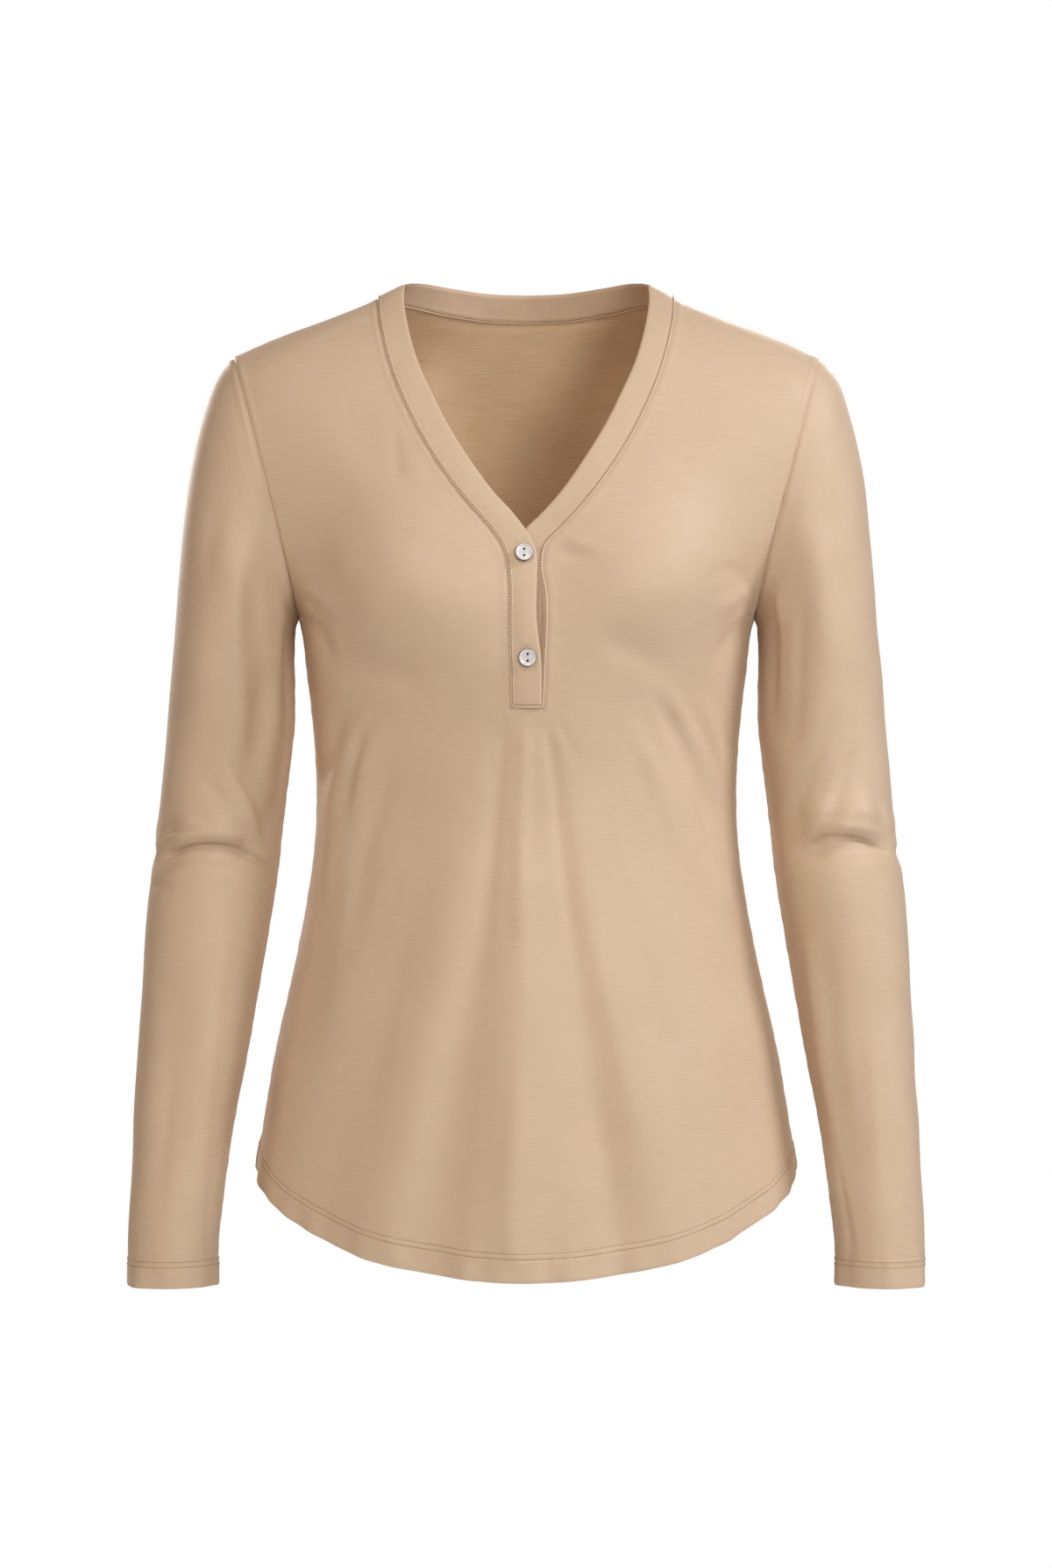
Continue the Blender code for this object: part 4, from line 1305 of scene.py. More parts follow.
    def seams_of(self, grid: Grid) -> list[Array]:
        """Shoulders, armholes with side seams, and the neckline down both sides of the placket.

        Args:
            grid: the panel's outer face.

        Returns:
            The points of each line.
        """
        points, foot = grid.points, self.foot_row()
        right, left = self.columns, self.columns + self.middle_columns + 1
        plain = [points[0, : right + 1], points[0, left:], points[:, 0], points[:, -1]]
        return plain + [points[: foot + 1, right], points[: foot + 1, left], points[foot, right : left + 1]]

    def declare(self, thing: bpy.types.Object) -> None:
        """Args:
            thing: its object, which is not used.
        """
        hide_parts("front")


@dataclass
class BackPanel(BodyPanel):
    """The back, in one piece from the shoulders to the hem."""

    piece: str = "back_panel"
    seed: int = 43
    neck_columns: int = 26
    neck_share: float = 0.4
    shoulder_columns: int = 44
    gather: float = 0.72
    armhole_rows: int = 56
    low_rows: int = 96
    low_length: float = 390.0

    CREASES = [
        (-126, -246, -52, -322, 9, 7, 2.6, 0.2, 0.3, 0.4), (-132, -262, -56, -338, 9, 5.5, -2.8, 0, 0.3, 0.4),
        (-130, -284, -44, -352, 9, 7, 2.4, 0, 0.3, 0.4), (-128, -304, -60, -362, 7, 5.5, -2.2, 0, 0.3, 0.4),
        (122, -252, 48, -330, -8, 7, 2.4, -0.2, 0.3, 0.4), (130, -270, 52, -346, -9, 5.5, -2.7, 0, 0.3, 0.4),
        (128, -292, 60, -358, -8, 7, 2.2, 0, 0.3, 0.4), (126, -314, 66, -366, -6, 5.5, -1.9, 0, 0.3, 0.4),
        (-88, -330, 24, -352, 9, 6, -2, 0.1, 0.4, 0.4), (-70, -322, 36, -340, 8, 7, 1.7, 0.1, 0.4, 0.4),
        (92, -338, 0, -368, -8, 6, -1.7, -0.1, 0.4, 0.4), (-148, -206, -100, -178, 6, 6, -2.2, 0.2, 0.2, 0.5),
        (-148, -214, -112, -214, -5, 6, 1.8, 0.2, 0.2, 0.5),
        (148, -207, 98, -182, -6, 6, -2.1, -0.2, 0.2, 0.5), (148, -216, 110, -218, 5, 6, 1.8, -0.2, 0.2, 0.5),
        (-30, -400, -48, -636, 5, 8, -3, 0.2, 0.4, 0.1), (28, -390, 42, -636, -5, 9, -2.7, -0.2, 0.4, 0.1),
        (2, -400, 0, -636, 4, 8, 2.3, 0, 0.4, 0.1), (-66, -380, -84, -630, 5, 9, 2.6, 0, 0.4, 0.2),
        (64, -410, 78, -630, -5, 9, 2.3, 0, 0.4, 0.2), (-98, -400, -120, -600, 5, 9, -2.3, 0, 0.4, 0.2),
        (100, -370, 122, -600, -5, 9, -2.4, 0, 0.4, 0.2), (-70, -30, -34, -120, 6, 10, -2, 0, 0.3, 0.4),
        (70, -30, 38, -114, -6, 10, -1.8, 0, 0.3, 0.4), (-150, -70, -112, -130, 6, 9, -2.1, 0, 0.3, 0.4),
        (150, -70, 114, -134, -6, 9, -1.9, 0, 0.3, 0.4),
    ]

    def half_rows(self, sign: float) -> list:
        """Rows of one half, from the centre outwards.

        Args:
            sign: 1 on the wearer's left, -1 on the right.

        Returns:
            Angles and heights of each row, from the neck and the shoulder down to the hem.
        """
        neck = np.linspace(90.0, 0.0, self.neck_columns + 1)[:-1]
        neck_z = curve(self.neck.BACK, self.neck.BACK_COLUMNS, "seam_z", neck)
        across = gathered(self.shoulder_columns, self.gather)
        tip, point, level = self.cut.shoulder_tip, self.cut.neck_point, self.cut.underarm[1]
        shoulder_z = point[1] + (tip[1] - point[1]) * across
        top_z = np.concatenate([neck_z, shoulder_z])
        neck_x = self.cut.half_width(neck_z) * np.cos(np.radians(neck))
        top_x = np.concatenate([neck_x, self.cut.half_width(shoulder_z)])
        neck_shares = np.linspace(0.0, self.neck_share, self.neck_columns + 1)[:-1]
        share = np.concatenate([neck_shares, self.neck_share + (1 - self.neck_share) * across])
        low_angle = share * math.pi / 2
        low_x = self.cut.underarm[0] * np.sin(low_angle)
        rows = []
        for drop in (1 - np.cos(np.linspace(0.0, math.pi, self.armhole_rows + 1))) / 2:
            z = top_z + (level - top_z) * drop
            x = top_x + (low_x - top_x) * drop
            x = x + (self.cut.half_width(z[-1]) - x[-1]) * share**3
            rows.append((sign * self.cut.angle_at(x, z, Side.BACK), z))
        for drop in self.lower_shares(self.low_rows, self.low_length):
            rows.append((sign * low_angle, level + (self.cut.hem_z(low_angle) - level) * drop))
        return rows

    def grid(self) -> Grid:
        """The back's outer face before its relief.

        Returns:
            The grid.
        """
        halves = zip(self.half_rows(-1.0), self.half_rows(1.0))
        lines = [tuple(np.concatenate([a[::-1], b[1:]]) for a, b in zip(*half)) for half in halves]
        return self.laid(lines, Side.BACK)

    def seams_of(self, grid: Grid) -> list[Array]:
        """Shoulders with the back neck, and armholes with side seams."""
        return [grid.points[0], grid.points[:, 0], grid.points[:, -1]]

    def declare(self, thing: bpy.types.Object) -> None:
        """Args:
            thing: its object, which is not used.
        """
        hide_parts("back")


# folds of the right and left sleeve in the order of BodyCut.FOLD_COLUMNS, and their creases
RIGHT_SLEEVE_FOLDS = [
    (10, -366, 150, -361, 9, -5), (40, -344, 130, -340, 12, 3.6),
    (172, -318, 118, -366, 10, -1.6), (132, -232, 116, -330, 15, -4),
    (84, -140, 66, -300, 20, 3.4), (70, -420, 84, -596, 17, -3),
    (236, -240, 250, -345, 17, -4), (200, -368, 320, -352, 10, 4),
    (280, -410, 268, -600, 19, -3.2),
]
LEFT_SLEEVE_FOLDS = [
    (20, -358, 150, -363, 9, -4.2), (40, -336, 130, -340, 12, 4.2),
    (66, -262, 146, -372, 12, -4.2), (142, -196, 134, -304, 15, -4),
    (86, -140, 74, -260, 20, 3.2), (88, -414, 96, -600, 17, -3),
    (244, -232, 256, -350, 17, -3.8), (206, -372, 316, -356, 10, 4),
    (262, -420, 276, -596, 19, -3.2),
]
RIGHT_SLEEVE_CREASES = [
    (14, -371, 126, -380, -17, 2.2, -3.2, 0.3, 0.2, 0.2), (12, -362, 116, -369, -16, 5, 3, 0.2, 0.3, 0.35),
    (24, -346, 66, -350, -7, 4, 1.6, 0, 0.3, 0.4), (20, -380, 116, -392, -12, 5, 1, 0, 0.3, 0.4),
    (18, -352, 76, -344, -6, 6, -1.4, 0, 0.3, 0.4), (14, -386, 46, -390, -4, 3.5, -1.2, 0, 0.3, 0.4),
    (60, -298, 108, -366, -3, 4, 2.2, 0, 0.3, 0.25), (50, -304, 98, -372, -3, 4.6, -1.8, 0.3, 0.3, 0.25),
    (114, -190, 119, -352, 0, 13, -3.6, 0, 0.3, 0.3), (101, -130, 108, -260, 2, 5, 1.6, 0, 0.3, 0.4),
    (61, -150, 78, -320, -4, 8, 2.4, 0.2, 0.3, 0.3), (76, -170, 96, -320, -4, 9, -2.2, 0.2, 0.3, 0.3),
    (112, -190, 112, -300, 3, 6, 1.6, 0, 0.3, 0.3), (48, -130, 52, -200, 3, 6, -1.2, 0, 0.4, 0.4),
    (96, -60, 104, -160, -5, 9, -1.4, 0, 0.4, 0.4), (88, -400, 90, -610, 3, 9, 1.6, 0.4, 0.2, 0.3),
    (52, -470, 60, -610, 4, 8, -1, 0.2, 0.4, 0.3), (104, -540, 112, -632, 3, 6, -1.2, 0, 0.4, 0.2),
    (180, -360, 240, -340, 9, 3.5, -2.2, 0, 0.3, 0.3), (178, -351, 238, -331, 9, 6, 2.2, 0, 0.3, 0.3),
    (172, -384, 230, -372, 7, 4, -1.4, 0, 0.3, 0.4), (150, -300, 186, -356, -3, 4.5, -2, 0, 0.3, 0.3),
    (196, -150, 206, -320, 5, 8, -2, 0, 0.3, 0.4), (212, -170, 220, -300, -4, 7, 1.4, 0, 0.4, 0.4),
    (190, -420, 196, -600, 4, 8, 1.4, 0, 0.3, 0.3), (-46, -338, 10, -346, 6, 7, 2.2, 0, 0.4, 0.4),
    (-40, -352, 18, -362, 6, 4.5, -2.4, 0.2, 0.4, 0.4), (-30, -372, 12, -384, 4, 4, -1.2, 0, 0.4, 0.4),
    (-6, -110, -14, -300, 4, 10, -1.8, 0, 0.4, 0.4), (-22, -90, -34, -240, -4, 8, 1.4, 0, 0.4, 0.4),
    (-4, -430, 2, -600, -3, 9, 1.4, 0, 0.4, 0.4), (-24, -410, -18, -570, 3, 7, -1.4, 0, 0.4, 0.4),
]
LEFT_SLEEVE_CREASES = [
    (20, -367, 118, -376, -18, 2.4, -3.2, 0.3, 0.28, 0.75), (18, -358, 112, -366, -17, 5, 2.4, 0.2, 0.4, 0.7),
    (26, -345, 70, -340, -6, 6, 1.1, 0, 0.4, 0.4), (18, -376, 84, -376, -9, 5, 1, 0, 0.3, 0.4),
    (46, -284, 98, -376, 4.6, 5.5, -3, 0.3, 0.25, 0.25), (58, -272, 106, -358, 4, 6, 1.8, 0.3, 0.3, 0.3),
    (78, -187, 99, -312, 4, 6.5, -2.4, 0.2, 0.3, 0.3), (96, -178, 108, -290, 3, 5, 1.8, 0.2, 0.3, 0.3),
    (31, -330, 16, -350, 0, 3.5, 1.6, 0, 0.3, 0.3), (40, -120, 50, -220, -4, 9, -1.4, 0, 0.4, 0.4),
    (96, -64, 102, -166, 5, 9, -1.4, 0, 0.4, 0.4), (88, -410, 90, -600, -3, 8, -1.6, 0.2, 0.2, 0.3),
    (100, -400, 104, -560, -3, 7, 1.3, 0.2, 0.3, 0.3), (56, -460, 62, -606, -4, 8, 1, -0.2, 0.4, 0.3),
    (104, -556, 98, -634, -3, 5, -1.4, 0, 0.4, 0.2), (176, -364, 236, -344, 9, 3.5, -2.2, 0, 0.3, 0.3),
    (174, -355, 234, -335, 9, 6, 2.2, 0, 0.3, 0.3), (170, -388, 226, -378, 7, 4, -1.4, 0, 0.3, 0.4),
    (152, -296, 188, -354, -3, 4.5, -2, 0, 0.3, 0.3), (198, -160, 206, -326, -5, 8, -2, 0, 0.3, 0.4),
    (214, -176, 218, -290, 4, 7, 1.4, 0, 0.4, 0.4), (188, -430, 198, -606, -4, 8, 1.4, 0, 0.3, 0.3),
    (-50, -334, 6, -340, 7, 7, 2.4, 0, 0.4, 0.4), (-44, -350, 22, -362, 7, 4.5, -2.6, 0.2, 0.4, 0.35),
    (-34, -376, 6, -386, 4, 4, -1.2, 0, 0.4, 0.4), (-4, -120, -16, -290, -4, 10, -1.8, 0, 0.4, 0.4),
    (-24, -80, -36, -250, 4, 8, 1.5, 0, 0.4, 0.4), (-2, -420, -6, -590, 3, 9, 1.4, 0, 0.4, 0.4),
    (-22, -440, -26, -600, -3, 7, -1.3, 0, 0.4, 0.4),
]


@dataclass
class Sleeve(Panel):
    """One set-in sleeve, a tube with its seam under the arm and a turned cuff."""

    name: str = "sleeve_left"
    length: float = 640.0
    head_rows: int = 10
    head_stretch: float = 0.012
    rows: int = 190
    fine_steps: int = 900
    turns: int = 132
    seam_crowding: float = 0.7
    elbow_z: float = -362.0
    elbow_reach: float = 40.0
    elbow_rows: float = 3.0
    head_share: float = 0.38
    free_share: float = 0.12
    outer_weight: float = 0.6
    slant_share: float = 0.2

    COLUMNS = ("outer_x", "outer_z", "inner_x", "inner_z", "half_depth", "centre_y")
    RINGS = [
        (193.2, -38.5, 150, -209, 58.5, 1.5), (203.5, -51, 151.6, -212, 58.5, 1.5),
        (213, -76, 152.6, -216, 58, 1.2), (220, -107, 153, -221.5, 57, 0.8),
        (225.5, -145, 153.2, -229.5, 56, 0), (229, -182, 153.2, -241, 54.5, -0.5),
        (232.3, -225, 152.8, -258.5, 53, -1), (235.5, -265, 153, -280, 52, -1.5),
        (238.5, -305, 156, -308, 50.5, -2.5), (242.5, -347, 160.4, -345, 49, -4.5),
        (247, -378, 163.6, -376, 48.5, -7), (250.2, -411.7, 169, -411.7, 47, -10),
        (251.8, -454.4, 176.2, -455, 44, -15), (253.4, -499, 183.3, -497, 41, -20),
        (255.9, -543.2, 191.5, -540, 37.5, -25), (258.7, -589.5, 197.7, -585, 34, -29),
        (260.4, -624.9, 201.5, -622, 31.5, -32), (260.8, -645, 202.2, -644.5, 31, -33),
    ]
    FOLDS = {"sleeve_right": RIGHT_SLEEVE_FOLDS, "sleeve_left": LEFT_SLEEVE_FOLDS}
    # a crease's place across is the turn in degrees times this width, and its place along is the height
    DEGREE = 0.75
    CREASES = {"sleeve_right": RIGHT_SLEEVE_CREASES, "sleeve_left": LEFT_SLEEVE_CREASES}

    def sign(self) -> float:
        """1 on the wearer's left, -1 on the right."""
        return 1.0 if self.name == "sleeve_left" else -1.0

    def row_shares(self, path: Array, outer_z: Array) -> Array:
        """Places of the rows, closer together at the head, the elbow and the cuff.

        Args:
            path: length down the sleeve at each ring of the table.
            outer_z: height of each ring's outer side.

        Returns:
            Shares of the sleeve's length.
        """
        turn = 1.0 - self.hem_stretch / self.length
        fine = np.linspace(self.head_stretch, turn, self.fine_steps)
        level = smooth(path, outer_z, path[-1] * fine)
        weight = np.cumsum(1.0 + self.elbow_rows * bell((level - self.elbow_z) / self.elbow_reach))
        even = np.linspace(weight[0], weight[-1], self.rows + 1)
        return np.concatenate([
            np.linspace(0.0, self.head_stretch, self.head_rows + 1)[:-1],
            np.interp(even, weight, fine)[:-1],
            np.linspace(turn, 1.0, self.hem_rows + 1),
        ])

    def ring_points(self, ring: dict, share: float, around: Array) -> Array:
        """Points of one ring, with the sleeve's large folds.

        Args:
            ring: the ring's sizes, under the names in COLUMNS.
            share: the ring's share of the sleeve's length.
            around: turns from the outer side towards the front.

        Returns:
            The points.
        """
        reach_x = (ring["outer_x"] - ring["inner_x"]) / 2
        reach_z = (ring["outer_z"] - ring["inner_z"]) / 2
        seam = max(0.0, 1.0 - share / self.head_share)
        x = (ring["outer_x"] + ring["inner_x"]) / 2 + reach_x * np.cos(around)
        x = x - self.cut.armhole_bow * seam * np.abs(np.sin(around))
        z = (ring["outer_z"] + ring["inner_z"]) / 2 + reach_z * np.cos(around)
        shift = ring["centre_y"] * (1 - seam)
        shift = shift + seam * self.cut.shoulder_seam_y * (1 + np.cos(around)) / 2
        depth = ring["half_depth"]
        front = depth * (1 - seam) + seam * self.cut.REACH[Side.FRONT]
        back = depth * (1 - seam) + seam * self.cut.REACH[Side.BACK]
        y = shift - np.sin(around) * np.where(np.sin(around) > 0, front, back)
        radius = (reach_x + self.slant_share * abs(reach_z) + depth) / 2
        folds = self.cut.folds(self.FOLDS[self.name], np.degrees(around), z, math.radians(radius))
        out = unit(np.stack([np.cos(around) * depth, -np.sin(around) * reach_x, 0 * around], axis=-1))
        points = np.stack([x, y, z], axis=-1) + (step(share / self.free_share) * folds)[:, None] * out
        points[:, 0] *= self.sign()
        return points

    def grid(self) -> Grid:
        """The sleeve's outer face before its relief.

        Returns:
            The grid, a tube.
        """
        table = {key: np.array(self.RINGS)[:, i] for i, key in enumerate(self.COLUMNS)}
        middle_x = (table["outer_x"] + table["inner_x"]) / 2
        middle_z = (table["outer_z"] + table["inner_z"]) / 2
        path = along_flat(middle_x, middle_z)
        path = path + self.outer_weight * along_flat(table["outer_x"], table["outer_z"])
        shares = self.row_shares(path, table["outer_z"])
        rings = {key: smooth(path, table[key], path[-1] * shares) for key in self.COLUMNS}
        even = np.linspace(0.0, 2 * math.pi, self.turns + 1)
        around = even + self.seam_crowding * np.sin(even)
        points = np.array([
            self.ring_points({key: values[k] for key, values in rings.items()}, share, around[:-1])
            for k, share in enumerate(shares)
        ])
        u = np.broadcast_to(np.degrees(around) * self.DEGREE, (len(shares), self.turns + 1))
        v = np.broadcast_to((-path[-1] * shares / (1 + self.outer_weight))[:, None], u.shape)
        made = Grid.make(points, u, v, True)
        made.face(points - points.mean(axis=1, keepdims=True))
        return made

    def seams_of(self, grid: Grid) -> list[Array]:
        """The armhole and the seam under the arm."""
        return [np.concatenate([grid.points[0], grid.points[0][:1]]), grid.points[:, self.turns // 2]]

    def creases(self, grid: Grid) -> Array:
        """Height of the creases, which run on across the tube's seam.

        Args:
            grid: the sleeve's outer face.

        Returns:
            The height at each point.
        """
        rows, full = self.CREASES[self.name], 360.0 * self.DEGREE
        u, z = grid.u[:, :-1], grid.points[..., 2]
        return creased(rows, u, z) + creased(rows, u - full, z)

    def declare(self, thing: bpy.types.Object) -> None:
        """Args:
            thing: its object, which is not used.
        """
        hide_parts(self.name)


# ---- Neckband, placket and buttons ----


def inset(points: Array, normals: Array, distance: float) -> tuple[Array, Array]:
    """A line at a fixed distance from a grid's first row, measured on the cloth.

    Args:
        points: the grid's points.
        normals: the directions that the cloth faces.
        distance: how far in, in mm.

    Returns:
        The line's points and the directions that its cloth faces.
    """
    gone = down_columns(points)
    both = np.concatenate([points, normals], axis=2)
    at = np.array([distance])
    line = np.concatenate([read_at(at, gone[:, c], both[:, c]) for c in range(points.shape[1])])
    return line[:, :3], unit(line[:, 3:])


@dataclass
class Neckband:
    """The folded strip round the neck, with the overlap and the underlap of the placket as its ends.

    Sizes are in mm. The band's left lap is sunk under the right one and sags a little below the upper button.
    """

    finish: tuple
    neck: NeckCut = NeckCut()
    front_rows: int = 120
    back_rows: int = 40
    width: float = 18.7
    top_reach: float = 9.0
    lean_seam: float = 0.25
    lean_width: float = 10.0
    gap_z: float = -214.0
    gap_reach: float = 30.0
    gap_sag: float = 2.6
    gap_from: float = 0.9
    gap_width: float = 3.0
    middle: tuple = (0.0, 20.0, -150.0)

    # seed, wavelengths, height, distance from the seam and width of the puckers and of the soft swell
    UNEVEN = [(7, (7.0, 12.0, 23.0), 0.1, 2.6, 3.0), (9, (38.0, 61.0, 90.0), 0.22, 10.0, 7.0)]
    # distance from the seam and thickness of the folded cloth
    THICKNESS = [(-0.55, 0.25), (0.4, 1.5), (17.2, 1.5), (18.7, 0.4)]
    # distance from the seam and height of the outer face over the band's middle surface
    PROFILE = [
        (-0.55, -0.2), (-0.5, 0.3), (-0.2, 0.66), (0.2, 0.86), (0.7, 0.94), (1.2, 0.88), (1.6, 0.72),
        (2, 0.6), (2.4, 0.62), (3, 0.7), (4, 0.76), (6, 0.8), (8, 0.84), (10, 0.85),
        (12, 0.84), (14, 0.8), (15.6, 0.76), (16.8, 0.7), (17.6, 0.58), (18.2, 0.36), (18.7, -0.1),
    ]

    def front_half(self, sign: float, lift: float) -> tuple[Array, Array, Array]:
        """Sections of one front half, from the shoulder to the placket's foot.

        Args:
            sign: 1 on the wearer's left, -1 on the right.
            lift: how far its lap stands off the body's surface.

        Returns:
            Seam points, fold points and lift.
        """
        _, lengths, climb = self.neck.half(sign)
        at = np.linspace(0.0, lengths[-1], self.front_rows + 1)
        seam_x, seam_z, fold_x, fold_z = self.neck.read(sign, at)
        seam, fold = self.neck.body.front_at(seam_x, seam_z), self.neck.body.front_at(fold_x, fold_z)
        shoulder = dict(zip(self.neck.BACK_COLUMNS, self.neck.BACK[0]))
        top = np.array([sign * shoulder["fold_x"], shoulder["fold_y"], shoulder["fold_z"]])
        fold = fold + (top - fold[0]) * step(1 - at / self.top_reach)[:, None]
        start = lengths[climb] - self.neck.lift_span
        return seam, fold, lift * step((at - start) / self.neck.lift_span)

    def back_half(self, sign: float) -> tuple[Array, Array]:
        """Sections of one back half, from the shoulder to the centre.

        Args:
            sign: 1 on the wearer's left, -1 on the right.

        Returns:
            Seam points and fold points.
        """
        turns = np.linspace(0.0, 90.0, self.back_rows + 1)
        names = self.neck.BACK_COLUMNS
        seam_z, *fold = (curve(self.neck.BACK, names, name, turns) for name in names[1:])
        seam = self.neck.body.point(sign * np.radians(90.0 - turns), seam_z, Side.BACK)
        return seam, np.stack(fold, 1) * np.array([sign, 1.0, 1.0])

    def sections(self) -> tuple[Array, Array, Array]:
        """Sections from the overlap's foot to the underlap's.

        Returns:
            Seam points, fold points and lift.
        """
        right, left = self.front_half(-1.0, self.neck.lift), self.front_half(1.0, -self.neck.lift)
        back_right, back_left = self.back_half(-1.0), self.back_half(1.0)
        seams, folds = (
            np.concatenate([right[i][::-1], back_right[i][1:], back_left[i][::-1][1:], left[i][1:]])
            for i in range(2)
        )
        flat = np.zeros(2 * self.back_rows)
        return seams, folds, np.concatenate([right[2][::-1], flat, left[2][1:]])

    def build(self) -> tuple[bpy.types.Object, Grid]:
        """Returns:
            The band and its outer face.
        """
        seams, folds, lifts = self.sections()
        middles = (seams + folds) / 2
        normals = unit(np.cross(np.gradient(middles, axis=0), folds - seams))
        away = middles - np.array(self.middle)
        normals *= np.sign(np.sum(normals * away, axis=1))[:, None]
        across, rise = np.array(self.PROFILE).T
        place = along_line(seams)
        lean = self.lean_seam + (1 - self.lean_seam) * step(across / self.lean_width)
        height = lifts[:, None] * lean[None] + rise[None]
        for seed, lengths, high, at, reach in self.UNEVEN:
            height = height + waves(place, seed, lengths)[:, None] * high * bell((across - at) / reach)
        under = (seams[:, 0] > 0) & (lifts < 0)
        sag = np.where(under, bell((seams[:, 2] - self.gap_z) / self.gap_reach), 0.0)
        height = height - self.gap_sag * sag[:, None] * step((across - self.gap_from) / self.gap_width)[None]
        points = seams[:, None] + (folds - seams)[:, None] * (across / self.width)[None, :, None]
        points = points + normals[:, None] * height[..., None]
        u = np.broadcast_to(across, height.shape)
        v = np.broadcast_to(place[:, None], height.shape)
        grid = Grid.make(points, u, v, False)
        grid.face(normals[:, None])
        wall = np.interp(across, *np.array(self.THICKNESS).T)
        thing = cloth_wall("neckband_cloth", grid, np.broadcast_to(wall, height.shape), self.finish)
        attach(thing, BODY)
        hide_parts("neckband")
        return thing, grid


def touch(surface: bpy.types.Object, x: float, z: float) -> tuple[Vector, Vector] | None:
    """Finds a surface from the front.

    Args:
        surface: the object that is looked for.
        x: place to the wearer's left, in mm.
        z: height, in mm.

    Returns:
        The nearest point at x and z, in metres, and the direction that it faces, or None.
    """
    found, place, normal, _ = surface.ray_cast(Vector((x * MM, RAY_FROM, z * MM)), Vector((0, 1, 0)))
    return (place, normal) if found else None


